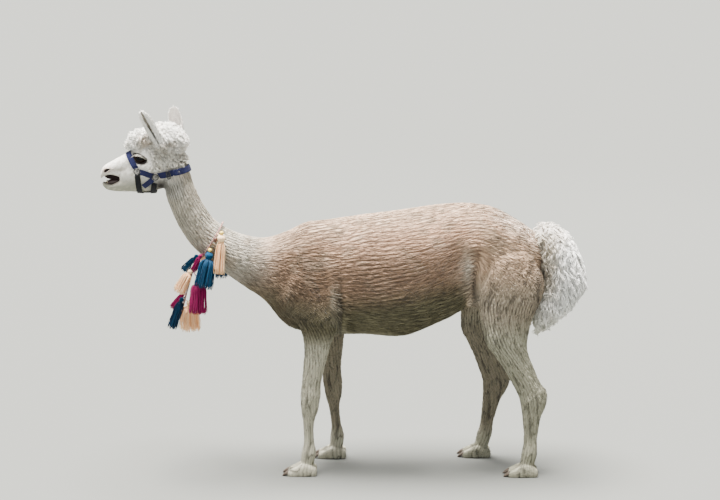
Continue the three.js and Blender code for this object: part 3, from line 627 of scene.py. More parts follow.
LEG_RELIEF = {
    "foreleg": [
        ((-0.075, 0.118, 0.590), (0.040, 0.04, 0.055), 0.006, 0.2),  # elbow
        ((-0.120, 0.088, 0.292), (0.040, 0.05, 0.026), 0.003, 0.0),  # knee
        ((-0.100, 0.110, 0.430), (0.012, 0.03, 0.070), -0.004, 0.1),
        ((-0.116, 0.110, 0.165), (0.006, 0.04, 0.070), -0.005, 0.0),  # between cannon bone and tendons
        ((-0.126, 0.090, 0.078), (0.034, 0.05, 0.018), 0.003, 0.0),  # fetlock
        ((-0.098, 0.118, 0.250), (0.010, 0.03, 0.022), 0.003, 0.0),
    ],
    "hindleg": [
        ((0.510, 0.125, 0.500), (0.030, 0.04, 0.040), 0.007, 0.0),  # stifle
        ((0.496, 0.110, 0.455), (0.022, 0.04, 0.022), 0.005, 0.0),
        ((0.610, 0.128, 0.540), (0.014, 0.04, 0.100), -0.005, 0.35),
        ((0.655, 0.115, 0.385), (0.012, 0.04, 0.060), -0.008, 0.55),  # before the hamstring
        ((0.705, 0.098, 0.315), (0.016, 0.03, 0.022), 0.004, 0.0),  # point of the hock
        ((0.650, 0.125, 0.285), (0.016, 0.03, 0.016), 0.004, 0.0),
        ((0.668, 0.122, 0.170), (0.006, 0.04, 0.085), -0.005, 0.0),
        ((0.655, 0.100, 0.082), (0.034, 0.05, 0.018), 0.003, 0.0),
    ],
}
HEAD_RELIEF = [
    ((-0.655, 0.050, 1.085), (0.032, 0.03, 0.034), 0.004, 0.3),  # cheek
    ((-0.742, 0.036, 1.105), (0.026, 0.02, 0.016), -0.003, 0.4),  # before the eye
    ((-0.705, 0.046, 1.168), (0.028, 0.03, 0.011), 0.005, -0.4),  # brow
    ((-0.700, 0.052, 1.112), (0.030, 0.02, 0.008), 0.003, -0.2),  # arch under the eye
    ((-0.780, 0.030, 1.092), (0.030, 0.02, 0.008), -0.0015, 0.25),
    ((-0.824, 0.026, 1.093), (0.017, 0.014, 0.013), 0.004, 0.5),  # wing of the nostril
    ((-0.826, 0.026, 1.074), (0.014, 0.02, 0.006), 0.0025, 0.0),  # upper lip
    ((-0.812, 0.022, 1.034), (0.016, 0.02, 0.008), 0.002, -0.4),  # lower lip
    ((-0.786, 0.034, 1.062), (0.007, 0.02, 0.012), -0.003, 0.3),  # corner of the mouth
    ((-0.848, 0.000, 1.084), (0.012, 0.003, 0.016), -0.003, 0.0),  # cleft of the upper lip
    ((-0.745, 0.034, 1.030), (0.030, 0.02, 0.004), -0.0015, 0.05),
]
EYE = np.array([-0.702, 0.0335, 1.1360])
EYE_RADII = np.array([0.0205, 0.0185, 0.0195])
EYE_TILT = -0.36
# The opening's half length, its heights above and below its middle line, and that line's above the eyeball's.
OPENING, OPEN_UPPER, OPEN_LOWER, OPEN_RISE = 0.0205, 0.0095, 0.0158, 0.0015
NOSTRIL = np.array([-0.8200, 0.028, 1.0925])
NOSTRIL_TILT = -0.50


def almond(points):
    """How far out a point lies from the middle of the eye's opening in the side view: 1 on its edge, which is
    half a flat ellipse above the tilted middle line and half a rounder one below it."""
    across = points[:, 0] - EYE[0]
    up = points[:, 2] - EYE[2] - OPEN_RISE
    long = across * np.cos(EYE_TILT) + up * np.sin(EYE_TILT)
    high = up * np.cos(EYE_TILT) - across * np.sin(EYE_TILT)
    return np.hypot(long / OPENING, high / np.where(high > 0, OPEN_UPPER, OPEN_LOWER))


def slit(points):
    """How far out a point lies from the middle of the nostril, 1 on its edge: a comma, wider at its low front
    end, under a centimetre high and over two long."""
    across = points[:, 0] - NOSTRIL[0]
    up = points[:, 2] - NOSTRIL[2]
    long = across * np.cos(NOSTRIL_TILT) - up * np.sin(NOSTRIL_TILT)
    high = up * np.cos(NOSTRIL_TILT) + across * np.sin(NOSTRIL_TILT) + 12 * long ** 2
    return np.hypot(long / 0.0125, high / (0.0042 - 0.18 * long))


def normals_of(mesh):
    """The mesh's normals at its points."""
    return numbers(mesh.vertex_normals, "vector", 3).astype(float)


def stance_shift(points, kind):
    """How far the stance has moved a limb along x at these points."""
    return stride_at(kind, points[:, 1], np.clip(points[:, 2], 0, 2))


def reshaped(mesh, points):
    """Gives the mesh's points new places."""
    mesh.vertices.foreach_set("co", points.astype(np.float32).ravel())
    mesh.update()


reshaped(hide.data, points)
own = points - SHIFT
rise = sum(swell(own, *form) for form in TRUNK_RELIEF + HEAD_RELIEF)
for kind, relief in LEG_RELIEF.items():
    back = own - stance_shift(own, kind)[:, None] * [1, 0, 0]
    rise += sum(swell(back, *form) for form in relief)
points += normals_of(hide.data) * rise[:, None]
points[:, 2] = np.maximum(points[:, 2], 0.0002)

# Where the face is finest the mesh is made finer before the eye sockets and nostrils are sunk in it.
reshaped(hide.data, points)
detail = hide.vertex_groups.new(name="coarse")
own = points - SHIFT
fineness = 1 - soft(-0.60, -0.50, own[:, 0])  # 1 on the head, 0 behind it
fineness = np.maximum(fineness, 0.35 * (1 - soft(0.05, 0.10, own[:, 2])))
for level in range(11):
    chosen = np.flatnonzero(np.round(fineness * 10) == level)
    if len(chosen):
        detail.add(chosen.tolist(), 1 - level / 10, "REPLACE")
thin = hide.modifiers.new("thin", "DECIMATE")
thin.ratio = HIDE_TRIANGLES / (2 * len(hide.data.polygons))
thin.vertex_group = "coarse"
thin.vertex_group_factor = 1.0
settle(hide)
hide.vertex_groups.clear()


def refined(thing, near):
    """The object's mesh with each edge halved that lies in a region, and all its faces cut into triangles.
    near says of an array of points which are in the region."""
    form = bmesh.new()
    form.from_mesh(thing.data)
    inside = near(folded(points_of(thing.data) - SHIFT))
    split = [e for e in form.edges if inside[e.verts[0].index] and inside[e.verts[1].index]]
    bmesh.ops.subdivide_edges(form, edges=split, cuts=1, use_grid_fill=True)
    bmesh.ops.triangulate(form, faces=form.faces[:])
    form.to_mesh(thing.data)
    form.free()
    thing.data.update()


def folded(points):
    """The points with those of the left side mirrored to the right."""
    return np.stack([points[:, 0], np.abs(points[:, 1]), points[:, 2]], 1)


refined(hide, lambda p: (np.linalg.norm(p - NOSTRIL, axis=1) < 0.026) | (almond(p) < 2.2) & (p[:, 1] > 0.02))
refined(hide, lambda p: (slit(p) < 2.0) & (p[:, 1] > 0.008) & (p[:, 0] < -0.79))
points = points_of(hide.data)
own = folded(points - SHIFT)
outward = normals_of(hide.data)

# The sockets are sunk behind the lids, and the nostrils run in and back from a low rim.
by_eye = (own[:, 1] > 0.015) & (np.linalg.norm(own - EYE, axis=1) < 0.06)
ring = almond(own)
sink = np.where(by_eye, 0.011 * (1 - soft(1.05, 1.45, ring)), 0)
by_nose = (own[:, 1] > 0.006) & (np.linalg.norm(own - NOSTRIL, axis=1) < 0.035)
hole = slit(own)
low_rim = 0.0015 * np.exp(-((hole - 1.5) / 0.35) ** 2)
sink += np.where(by_nose, 0.009 * (1 - soft(0.55, 1.15, hole)) - low_rim, 0)
points -= outward * sink[:, None]
reshaped(hide.data, points)

# Lids: an almond ring of bare dark skin from the fur round the eye to the eyeball, rolled over at its edge.
ACROSS_LID = np.array([
    # share of the way from the opening's edge out, height over the eyeball's or the skin's own level
    (-0.10, -0.0030), (-0.06, -0.0008), (0.00, 0.0012), (0.10, 0.0024), (0.24, 0.0028), (0.42, 0.0022),
    (0.62, 0.0012), (0.82, 0.0000), (1.00, -0.0022),
])


def halved(quads):
    """Quads cut into triangles."""
    return np.concatenate([quads[:, :3], quads[:, [0, 2, 3]]])


def tree_of(places):
    """A tree that finds the nearest of some places."""
    tree = mathutils.kdtree.KDTree(len(places))
    for k, p in enumerate(places):
        tree.insert(p, k)
    tree.balance()
    return tree


def skin_side(x, z):
    """How far the head's form reaches from the centre plane at places of the side view: the nearest sample's
    half of the section, of a fine grid of them."""
    t = np.linspace(0.25, 0.75, 160)[:, None]
    turn = np.linspace(-1.2, 1.2, 160)[None, :]
    samples = section(HEAD, t, turn, -FACE_DEPTH).reshape(-1, 3)
    tree = tree_of(samples * [1, 0, 1])
    flat = np.stack([x.ravel(), z.ravel()], 1)
    return samples[[tree.find((p, 0, q))[1] for p, q in flat], 1].reshape(x.shape)


def over_eye(long, high, least):
    """Places on the eyeball, from lengths along and across its tilted opening: x, y and z. Past the
    eyeball's edge y stays that of the root of least."""
    x = EYE[0] + long * np.cos(EYE_TILT) - high * np.sin(EYE_TILT)
    z = EYE[2] + OPEN_RISE + long * np.sin(EYE_TILT) + high * np.cos(EYE_TILT)
    inside = 1 - ((x - EYE[0]) / EYE_RADII[0]) ** 2 - ((z - EYE[2]) / EYE_RADII[2]) ** 2
    return x, EYE[1] + EYE_RADII[1] * np.sqrt(np.clip(inside, least, 1)), z


def lids(side, around=96):
    """The ring: for each turn round the opening and each share outwards, the place in the side view is the
    almond grown by the share, and the distance from the centre plane goes from the eyeball to the skin."""
    turn = np.arange(around) / around * 2 * np.pi
    out = ACROSS_LID[:, 0][:, None]
    grown = 1 + out * (0.46 + 0.16 * np.abs(np.cos(turn)) ** 3)
    half = np.where(np.sin(turn) > 0, OPEN_UPPER, OPEN_LOWER)
    long = OPENING * np.cos(turn) * grown
    high = half * np.sin(turn) * grown + out * 0.001
    x, eyeball, z = over_eye(long, high, 0.02)
    level = skin_side(x, z)
    share = soft(0.0, 0.75, out)
    y = eyeball * (1 - share) + level * share + ACROSS_LID[:, 1][:, None]
    points = np.stack([x, side * y, z], -1)
    tris = halved(faces_round(len(points), around)[0])
    return points.reshape(-1, 3) + SHIFT, tris if side < 0 else tris[:, ::-1]


body_faces = numbers(hide.data.polygons, "vertices", 3, np.int32)
shells = [(points_of(hide.data), body_faces), *map(lids, SIDES.values())]

# Ears: leaf-shaped, rolled into a funnel at the root and opening towards the tip. Root and tip on the right
# side, widest half width, the turn of the opening from straight ahead, the roll at root and tip.
EARS = {
    "left": (-1, (-0.627, 0.052, 1.178), (-0.691, 0.066, 1.303), 0.0200, 1.42, (3.00, 2.80), 0.62),
    "right": (1, (-0.578, 0.046, 1.182), (-0.595, 0.058, 1.301), 0.0255, 1.35, (2.30, 1.35), 0.75),
}
EAR_THICK = 0.0042


def ear_sheet(side, root, tip, half, turn, roll, flat, rings=40, across=21):
    """An ear's closed shell. At each share up it a ring runs out along an arc of the roll's angle and back
    along a smaller one a few millimetres inside it, flattened from front to back; the width closes like a
    leaf's. The last of its three arrays is 1 on the inner sheet."""
    base, end = np.array(root) * [1, side, 1], np.array(tip) * [1, side, 1]
    along = end - base
    up = along / np.linalg.norm(along)
    face = np.array([-np.cos(turn), -np.sin(turn), 0])
    face -= up * (face @ up)
    face /= np.linalg.norm(face)
    over = np.cross(face, up)
    t = 1 - (1 - np.linspace(0, 1, rings)[:, None]) ** 1.5
    width = half * (0.72 + 0.42 * t) * np.sqrt(np.clip(1 - t ** 3.4, 0, 1)) + 0.0010
    rolled = roll[0] + (roll[1] - roll[0]) * t ** 0.7
    radius = width / np.sin(np.minimum(rolled, np.pi / 2))
    share = np.linspace(-1, 1, across)[None, :]
    thin = EAR_THICK * (1 - 0.55 * t) * np.sqrt(np.clip(1 - share ** 6, 0.05, 1))
    arcs = []
    for sheet, order in ((0.5, 1), (-0.5, -1)):
        angle = share * rolled
        reach = radius + sheet * thin
        outwards = reach * np.sin(angle)
        # The bottom of the roll stays behind the middle line, and its rims come forwards.
        forwards = flat * (radius * 0.3 * (rolled < 2.4) - reach * np.cos(angle))
        arcs.append((outwards[:, ::order], forwards[:, ::order]))
    outwards, forwards = (np.concatenate([arcs[0][k], arcs[1][k]], 1) for k in (0, 1))
    middle = base + along * t - face * 0.004 * np.sin(np.pi * t)
    points = middle[:, None, :] + outwards[..., None] * over + forwards[..., None] * face
    quads, fans = faces_round(*points.shape[:2], turned=True)
    poles = np.array([points[0].mean(axis=0), points[-1].mean(axis=0) + up * 0.002])
    inner = np.concatenate([np.zeros(across), np.ones(across)])
    inner = np.concatenate([np.tile(inner, rings), [0, 0]])
    points = np.concatenate([points.reshape(-1, 3), poles]) + SHIFT
    return points, np.concatenate([halved(quads), fans]), inner


ear_start = sum(len(shell[0]) for shell in shells)
ears = [ear_sheet(*shape) for shape in EARS.values()]
skin_points, skin_faces = joined(*shells, *(ear[:2] for ear in ears))
old = hide.data
hide.data = mesh_of("hide", skin_points, skin_faces)
bpy.data.meshes.remove(old)

# The lie of the coat. Each point of the skin is matched to the form it belongs to, and knows how far it is
# round that form from its crest and how far along it, and which way is along. Over shoulder and haunch the
# lie turns from along the trunk to down the leg.
def charted(rows, rings, around, grow, lie=1):
    """A form's surface as a table of samples: place, unit way round it from the crest, unit way along it with
    the lie of the coat, distance round from the crest, distance along, share along and angle as a share."""
    t = np.linspace(0, 1, rings)[:, None]
    turn = -np.pi / 2 + np.arange(around)[None, :] / around * 2 * np.pi
    place = section(rows, t, turn + 0 * t, grow)
    half = around // 2
    step = np.linalg.norm(np.roll(place, -1, axis=1) - place, axis=2)
    run = np.concatenate([np.zeros((rings, 1)), np.cumsum(step, axis=1)[:, :-1]], 1)
    way = np.roll(place, -1, axis=1) - np.roll(place, 1, axis=1)
    way *= np.where(np.arange(around) < half, -1, 1)[None, :, None]
    along = np.gradient(place, axis=0)
    far = np.cumsum(np.linalg.norm(along, axis=2), axis=0) * lie
    round_off = np.abs(run - run[:, half:half + 1])
    rest = np.stack([round_off, far, t + 0 * far, np.arange(around) / around + 0 * far], -1)
    return np.concatenate([place, unit(way), unit(along * lie), rest], -1).reshape(-1, 13)


def nearest(table, points):
    """For each point the sample nearest to it, with the sample's distances carried on to the point's own
    place along the sample's two ways, and how far off it lies."""
    tree = tree_of(table[:, :3])
    found = [tree.find(p)[1:] for p in points]
    hit = table[[f[0] for f in found]].copy()
    off = points - hit[:, :3]
    hit[:, 9] += (off * hit[:, 3:6]).sum(axis=1)
    hit[:, 10] += (off * hit[:, 6:9]).sum(axis=1)
    return hit, np.array([f[1] for f in found])


def wobble(points, size, seed, waves=7):
    """A smooth random height, mostly between -1 and 1: the sum of a few sine waves in random directions,
    each of about the given size, over the root of their number."""
    dice = np.random.default_rng(seed)
    ways = dice.normal(size=(waves, 3))
    lengths = np.linalg.norm(ways, axis=1, keepdims=True)
    ways *= 2 * np.pi / size * dice.uniform(0.6, 1.5, (waves, 1)) / lengths
    return np.sin(points @ ways.T + dice.uniform(0, 2 * np.pi, waves)).sum(axis=1) / np.sqrt(waves)


body_chart = charted(BODY, 320, 200, -FLEECE_DEPTH)
head_chart = charted(HEAD, 140, 120, -0.006, lie=-1)
leg_chart = np.concatenate([
    charted(standing(kind, side), 200, 60, -LEG_DEPTH) for kind in LEGS for side in SIDES.values()])
RIDGE = 0.0105  # from one comb of the clippers to the next


def coat_of(points):
    """What the coat is like at points of the skin: the way it lies, the distance across its ridges and along
    them, how strong they are, and which part of the body it is on (0 trunk and neck, 1 head, 2 to 5 legs)
    with its place there."""
    own = points - SHIFT
    x, y, z = own.T
    body, body_off = nearest(body_chart, own)
    head, head_off = nearest(head_chart, own)
    leg, leg_off = nearest(leg_chart, own)
    back, haunch = (x - stance_shift(own, kind) for kind in LEGS)
    # The turn from along the trunk (0) to down the leg (a quarter turn).
    turn = np.pi / 2 * soft(0.430, 0.475, haunch) * (1 - soft(0.62, 0.90, z + 0.25 * (haunch - 0.56)))
    before = soft(-0.26, -0.20, back) * (1 - soft(-0.024, -0.008, back))
    turn = np.maximum(turn, np.pi / 2 * before * (1 - soft(0.56, 0.70, z)))
    turn = np.where(z < 0.47, np.pi / 2, turn)
    on_head = np.where(x < -0.655, 1, 1 - soft(-0.004, 0.004, head_off - body_off))
    lie = np.cos(turn)[:, None] * body[:, 6:9] + np.sin(turn)[:, None] * leg[:, 6:9]
    lie = lie * (1 - on_head[:, None]) + head[:, 6:9] * on_head[:, None]
    over_feet = 1 - soft(0.035, 0.075, z)
    lie = lie * (1 - over_feet[:, None]) + over_feet[:, None] * np.array([-0.9, 0, -0.45])
    wider = 1 - 0.30 * soft(-0.36, -0.12, x)
    across = np.cos(turn) * wider * (0.14 - body[:, 9]) + np.sin(turn) * (leg[:, 9] - 0.07)
    across = across * (1 - on_head) - head[:, 9] * on_head
    across += 0.0026 * wobble(own, 0.16, 1) + 0.0009 * wobble(own, 0.055, 2)
    far = np.where(turn > 0.8, leg[:, 10], body[:, 10])
    patchy = soft(-0.9, 0.6, wobble(own, 0.12, 3))
    strong = (1 - on_head) * (0.60 + 0.40 * patchy) * (0.55 + 0.45 * soft(0.36, 0.52, z))
    strong *= 1 - 0.55 * (1 - soft(0.50, 0.60, z)) * soft(0.0, 0.1, x) * (1 - soft(0.35, 0.45, x))
    part = np.where(on_head > 0.5, 1, 0)
    limb = 2 + 2 * (x > 0.2) + (y > 0)
    part = np.where((leg_off < body_off - 0.002) & (turn > 0.2), limb, part)
    share = np.where((part == 0)[:, None], body[:, 11:13],
                     np.where((part == 1)[:, None], head[:, 11:13], leg[:, 11:13]))
    return {"lie": lie, "across": across, "far": far, "strong": strong, "part": part, "share": share}


def painted(points, layers, start):
    """Colours at points: from a start colour, each layer mixes in its colour by its share."""
    colour = np.broadcast_to(np.array(start, float), (len(points), 3)).copy()
    for own_colour, share in layers:
        colour += (np.array(own_colour) - colour) * np.clip(share, 0, 1)[:, None]
    return colour


def cracks(across, far):
    """Partings that wander along the lie of the coat and now and then close, to be darkened as painted
    shade: where a smooth random height over the two distances is near zero. Distances along count for a
    seventh of those across."""
    flat = np.stack([across, far * 0.14, 0 * far], 1)
    return 1 - soft(0.04, 0.34, np.abs(wobble(flat, 0.021, 12)))


def spot(own, middle, radii):
    """1 at a place on both sides of the body and falling like a bell round it."""
    return np.exp(-(((folded(own) - middle) / radii) ** 2).sum(axis=1))


def markings_and_shading(points):
    """The coat's colour: rosy beige over the trunk, cream on neck and legs, white on the head, rosy grey skin
    at nostrils and lips. Painted into it are a highlight along the spine, and shade on the lower sides,
    belly, breast, shoulder, right legs, under the jaw, the cheek's curls and the rings, in creases and
    hollows, and at the throat."""
    own = points - SHIFT
    x, y, z = own.T
    down = np.interp(x, BODY[:, 0], BODY[:, 1]) - z
    neckwards = 1 - soft(-0.42, -0.20, x)
    side_on = soft(0.02, 0.10, down)
    face = x < -0.64
    layers = [
        # The trunk, a painted highlight along its spine, and painted shade on its lower sides and
        # the belly.
        ((0.68, 0.425, 0.280), soft(-0.40, -0.18, x)),
        ((0.80, 0.57, 0.40), (1 - soft(0.0, 0.09, down)) * soft(-0.35, -0.2, x)),
        ((0.29, 0.185, 0.120), soft(0.07, 0.21, down) * soft(-0.32, -0.2, x) * (1 - soft(0.38, 0.46, x))),
        ((0.165, 0.148, 0.085), soft(0.22, 0.34, down) * soft(-0.36, -0.24, x) * (1 - soft(0.40, 0.46, x))),
        # The haunch, the rump paler along its top, the hind legs from thigh to foot, the forelegs, and
        # painted shade over the legs on the right.
        ((0.68, 0.47, 0.315), soft(0.42, 0.50, x) * side_on),
        ((0.92, 0.74, 0.60), soft(0.48, 0.56, x) * (1 - soft(0.0, 0.075, down))),
        ((0.50, 0.42, 0.315), soft(0.40, 0.46, x) * (1 - soft(0.64, 0.80, z))),
        ((0.52, 0.50, 0.375), soft(0.38, 0.44, x) * (1 - soft(0.50, 0.62, z))),
        ((0.62, 0.59, 0.46), (1 - soft(0.46, 0.54, z)) * (1 - soft(0.1, 0.2, x))),
        ((0.26, 0.22, 0.155), 0.85 * (y > 0) * (1 - soft(0.50, 0.60, z)) * soft(0.06, 0.14, z)),
        # The neck, and painted shade on the breast.
        ((0.64, 0.59, 0.49), neckwards * soft(0.7, 0.8, z)),
        ((0.20, 0.165, 0.105), soft(-0.45, -0.33, x) * (1 - soft(-0.26, -0.2, x)) * soft(0.10, 0.2, down)),
        # Painted shade over shoulder and upper arm; a pale band before the thigh; painted shade in the
        # creases before the thigh and behind the elbow, and in the hollow before the tail.
        ((0.235, 0.145, 0.090), 0.95 * spot(own, (-0.155, 0.10, 0.775), (0.13, 0.20, 0.11))),
        ((0.16, 0.108, 0.070), 0.75 * spot(own, (-0.192, 0.10, 0.680), (0.018, 0.20, 0.045))),
        ((0.16, 0.135, 0.085), spot(own, (-0.190, 0.10, 0.600), (0.12, 0.20, 0.07))),
        ((0.50, 0.47, 0.39), 0.8 * spot(own, (0.420, 0.12, 0.755), (0.022, 0.20, 0.070))),
        ((0.07, 0.055, 0.040), 0.9 * spot(own, (0.449, 0.12, 0.715), (0.008, 0.20, 0.085))),
        ((0.33, 0.31, 0.245), 0.7 * spot(own, (-0.036, 0.12, 0.650), (0.013, 0.20, 0.055))),
        ((0.05, 0.040, 0.030), 0.9 * spot(own, (-0.013, 0.12, 0.620), (0.008, 0.20, 0.055))),
        ((0.10, 0.080, 0.060), 0.9 * spot(own, (0.672, 0.00, 0.700), (0.012, 0.20, 0.170))),
        # The head; painted shade under its jaw; grey flecks on the face; and painted shade behind the
        # cheek, under the curls.
        ((0.86, 0.84, 0.785), (1 - soft(-0.60, -0.54, x)) * soft(1.0, 1.03, z)),
        ((0.31, 0.31, 0.25), (1 - soft(-0.70, -0.63, x)) * (1 - soft(1.030, 1.095, z)) * soft(0.95, 1.0, z)),
        ((0.55, 0.51, 0.44), 0.55 * face * soft(0.3, 1.1, wobble(own, 0.020, 14)) * soft(0.98, 1.0, z)),
        ((0.44, 0.39, 0.33), 0.50 * face * soft(0.5, 1.2, wobble(own, 0.011, 15)) * soft(0.98, 1.0, z)),
        ((0.34, 0.31, 0.25), 0.7 * spot(own, (-0.600, 0.05, 1.045), (0.035, 0.07, 0.026))),
        # Brown and pale patches along the back.
        ((0.46, 0.35, 0.25),
         0.55 * soft(0.2, 1.2, wobble(own, 0.07, 5)) * soft(-0.5, -0.4, x) * (1 - soft(0.0, 0.4, down))),
        ((0.76, 0.60, 0.46), 0.2 * soft(0.3, 1.3, wobble(own, 0.09, 6)) * (1 - soft(0.12, 0.2, down))),
        # Painted shade at the throat; painted shade and rubbed dark hair under the rings; painted
        # shade in the fold behind the nostril; nostril, cleft and lips.
        ((0.012, 0.007, 0.005), 0.99 * spot(own, (-0.636, 0.0, 1.037), (0.029, 0.180, 0.028))),
        ((0.07, 0.07, 0.09), 0.9 * spot(own, (-0.713, 0.04, 1.092), (0.008, 0.05, 0.008))),
        ((0.07, 0.07, 0.09), 0.9 * spot(own, (-0.649, 0.04, 1.0725), (0.008, 0.05, 0.008))),
        ((0.36, 0.315, 0.26), 0.75 * spot(own, (-0.778, 0.033, 1.092), (0.020, 0.02, 0.0060))),
        ((0.33, 0.23, 0.19), 0.85 * spot(own, (-0.8205, 0.026, 1.0935), (0.018, 0.02, 0.011))),
        ((0.42, 0.33, 0.28), 0.8 * spot(own, (-0.848, 0.0, 1.084), (0.011, 0.010, 0.016))),
        ((0.36, 0.27, 0.225), 0.85 * spot(own, (-0.812, 0.020, 1.066), (0.030, 0.03, 0.006))),
        ((0.40, 0.31, 0.255), 0.8 * spot(own, (-0.812, 0.020, 1.046), (0.026, 0.03, 0.006))),
    ]
    return painted(points, layers, (0.66, 0.60, 0.52)) * (1 - 0.16 * soft(-0.62, -0.58, x))[:, None]


def set_attribute(mesh, name, kind, values):
    """A named value at each point of a mesh: FLOAT, FLOAT_VECTOR or FLOAT_COLOR."""
    values = np.asarray(values, np.float32)
    if kind == "FLOAT_COLOR" and values.shape[1] == 3:
        values = np.concatenate([values, np.ones((len(values), 1), np.float32)], 1)
    made = mesh.attributes.new(name, kind, "POINT")
    key = {"FLOAT": "value", "FLOAT_VECTOR": "vector", "FLOAT_COLOR": "color"}[kind]
    made.data.foreach_set(key, values.ravel())


BARE_LID = np.array([0.030, 0.024, 0.022])
# Painted shade for the inside of the nostrils and of the mouth:
NOSTRIL_SHADE = np.array([0.035, 0.022, 0.020])
MOUTH_SHADE = (0.012, 0.006, 0.005)
EAR_WHITE, EAR_PINK = (0.92, 0.90, 0.85), (0.93, 0.87, 0.83)
# How deep the painted shade in the coat's partings is:
CRACK_SHADE = np.array([0.30, 0.0, 0.62, 0.62, 0.66, 0.66])  # for each part of the body
skin_coat = coat_of(skin_points)
tint = markings_and_shading(skin_points)
own = folded(skin_points - SHIFT)
x, y, z = own.T
round_eye = (np.linalg.norm(own - EYE, axis=1) < 0.05) & (y > 0.02)
rim = np.where(round_eye, 1 - soft(1.26, 1.66, almond(own) + 0.05 * wobble(own, 0.01, 8)), 0)
corner = np.where(round_eye, np.exp(-(((x + 0.7235) / 0.008) ** 2 + ((z - 1.1505) / 0.0045) ** 2)), 0)
tint += (BARE_LID - tint) * np.maximum(rim, corner)[:, None]
# Painted shade inside the nostrils.
inside_nostril = (y > 0.006) & (np.linalg.norm(own - NOSTRIL, axis=1) < 0.035)
tint += (NOSTRIL_SHADE - tint) * np.where(inside_nostril, 1 - soft(0.8, 1.25, slit(own)), 0)[:, None]
# Inside the mouth's opening the skin is painted nearly black, as painted shade.
gap_low = np.interp(x, [-0.835, -0.822, -0.808, -0.784], [1.046, 1.0415, 1.040, 1.056])
gap_high = np.interp(x, [-0.840, -0.828, -0.812, -0.784], [1.0615, 1.070, 1.0735, 1.0615])
tint[(x < -0.782) & (x > -0.838) & (z > gap_low) & (z < gap_high) & (y < 0.021)] = MOUTH_SHADE
ears_inner = np.concatenate([inner for *_, inner in ears])
# The near ear's lining is painted grey, darkest low in its funnel, as painted shade inside it; the far ear's
# lining is pink.
left_ear = skin_points[ear_start:, 1, None] < 0
funnel_shade = 1 - soft(1.19, 1.27, skin_points[ear_start:, 2, None])
lining_and_shade = np.where(left_ear, np.array([0.55, 0.50, 0.43]) - np.array([0.39, 0.36, 0.32]) * funnel_shade, EAR_PINK)
tint[ear_start:] = np.where(ears_inner[:, None] > 0.5, lining_and_shade, EAR_WHITE)
# Painted shade in the partings of the coat.
crack_shade = cracks(skin_coat["across"], skin_coat["far"]) * (skin_coat["part"] != 1)
crack_shade[ear_start:] = 0
tint *= 1 - CRACK_SHADE[skin_coat["part"]][:, None] * crack_shade[:, None]
skin_coat["strong"][ear_start:] = 0
set_attribute(hide.data, "tint", "FLOAT_COLOR", tint)
set_attribute(hide.data, "grain", "FLOAT_VECTOR", np.stack([
    skin_coat["across"], skin_coat["far"], skin_coat["strong"]], 1))


def maths(tree, operation, *values):
    """What a Math node gives for numbers or other nodes' outputs."""
    return node(tree, "Math", dict(enumerate(values)), operation=operation).outputs[0]


def times(tree, *values):
    """One value times another."""
    return maths(tree, "MULTIPLY", *values)


def plus(tree, *values):
    """The first value times the second, plus the third."""
    return maths(tree, "MULTIPLY_ADD", *values)


def noted(tree, name, output):
    """A value that the mesh's points carry."""
    return node(tree, "Attribute", {}, attribute_name=name).outputs[output]


def tinted(tree, light):
    """The points' own colour times a factor."""
    grey = node(tree, "CombineXYZ", {0: light, 1: light, 2: light}).outputs[0]
    tint = noted(tree, "tint", "Color")
    return node(tree, "VectorMath", {0: tint, 1: grey}, operation="MULTIPLY").outputs[0]


def shorn_skin():
    """The skin under short wool: combed ridges across the lie of the coat, painted shade in the grooves
    between them and a little painted light on their crests, with streaks along it and fine curl, all
    raised a little."""
    material = finish_of("shorn_skin", (0.6, 0.5, 0.4), 0.9, Sheen_Weight=0.06, Specular_IOR_Level=0.25)
    tree = material.node_tree
    across, far, strong = node(tree, "SeparateXYZ", {0: noted(tree, "grain", "Vector")}).outputs
    stretched = node(tree, "CombineXYZ", {0: times(tree, across, 420), 1: times(tree, far, 38)})
    streak = noise(tree, 1, 4, stretched.outputs[0])
    curl = noise(tree, 240, 3)
    wave = plus(tree, maths(tree, "SINE", times(tree, across, 2 * np.pi / RIDGE)), 0.5, 0.5)
    # Painted shade in the grooves between the ridges, and a little painted light on their crests.
    shade = plus(tree, maths(tree, "SUBTRACT", 1.0, wave), times(tree, strong, -0.68), 1.08)
    light = times(tree, shade, plus(tree, streak, 0.5, 0.74))
    fine = maths(tree, "ADD", times(tree, streak, 0.0007), times(tree, curl, 0.0005))
    relief = maths(tree, "ADD", times(tree, times(tree, wave, strong), 0.0020), fine)
    return led(material, tinted(tree, light), relief)


hide.data.materials.append(shorn_skin())
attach(hide, "root")
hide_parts("trunk", "neck", "head", "jaw", *(f"{kind}_{side}" for kind in LEGS for side in SIDES),
            "ear_left", "ear_right")

# ---------------------------------------------------------------- the short coat
# Shorn wool a centimetre long lies back along the body in small flat tufts, thickest on the ridges that the
# clippers left. It is shorter on the legs, and down to a few millimetres of hair on face and feet.

# A tuft's corners are three at its root, three half way and one at its tip: its quads and its triangles.
TUFT = (
    np.array([(0, 3, 5, 2), (1, 4, 3, 0), (2, 5, 4, 1)]),
    np.array([(3, 6, 5), (4, 6, 3), (5, 6, 4), (0, 2, 1)]),
)


def lay_out(mesh, shares, spread):
    """Gives the mesh its OFBake map: each tuft or lock is one small patch at its root's place on the form."""
    place = np.clip(shares[:, ::-1] * 0.99 + 0.005, 0.002, 0.998)
    places = (place[:, None, :] + spread).reshape(-1, 2)
    corners = numbers(mesh.loops, "vertex_index", 1, np.int32)
    layer = mesh.uv_layers.new(name="OFBake")
    layer.uv.foreach_set("vector", places[corners].astype(np.float32).ravel())


def flat_on(normals, ways):
    """The ways at a length of 1, without what points out of the surface: each less its normal times the
    share of it that lies along the normal."""
    return unit(ways - normals * (ways * normals).sum(axis=1, keepdims=True))


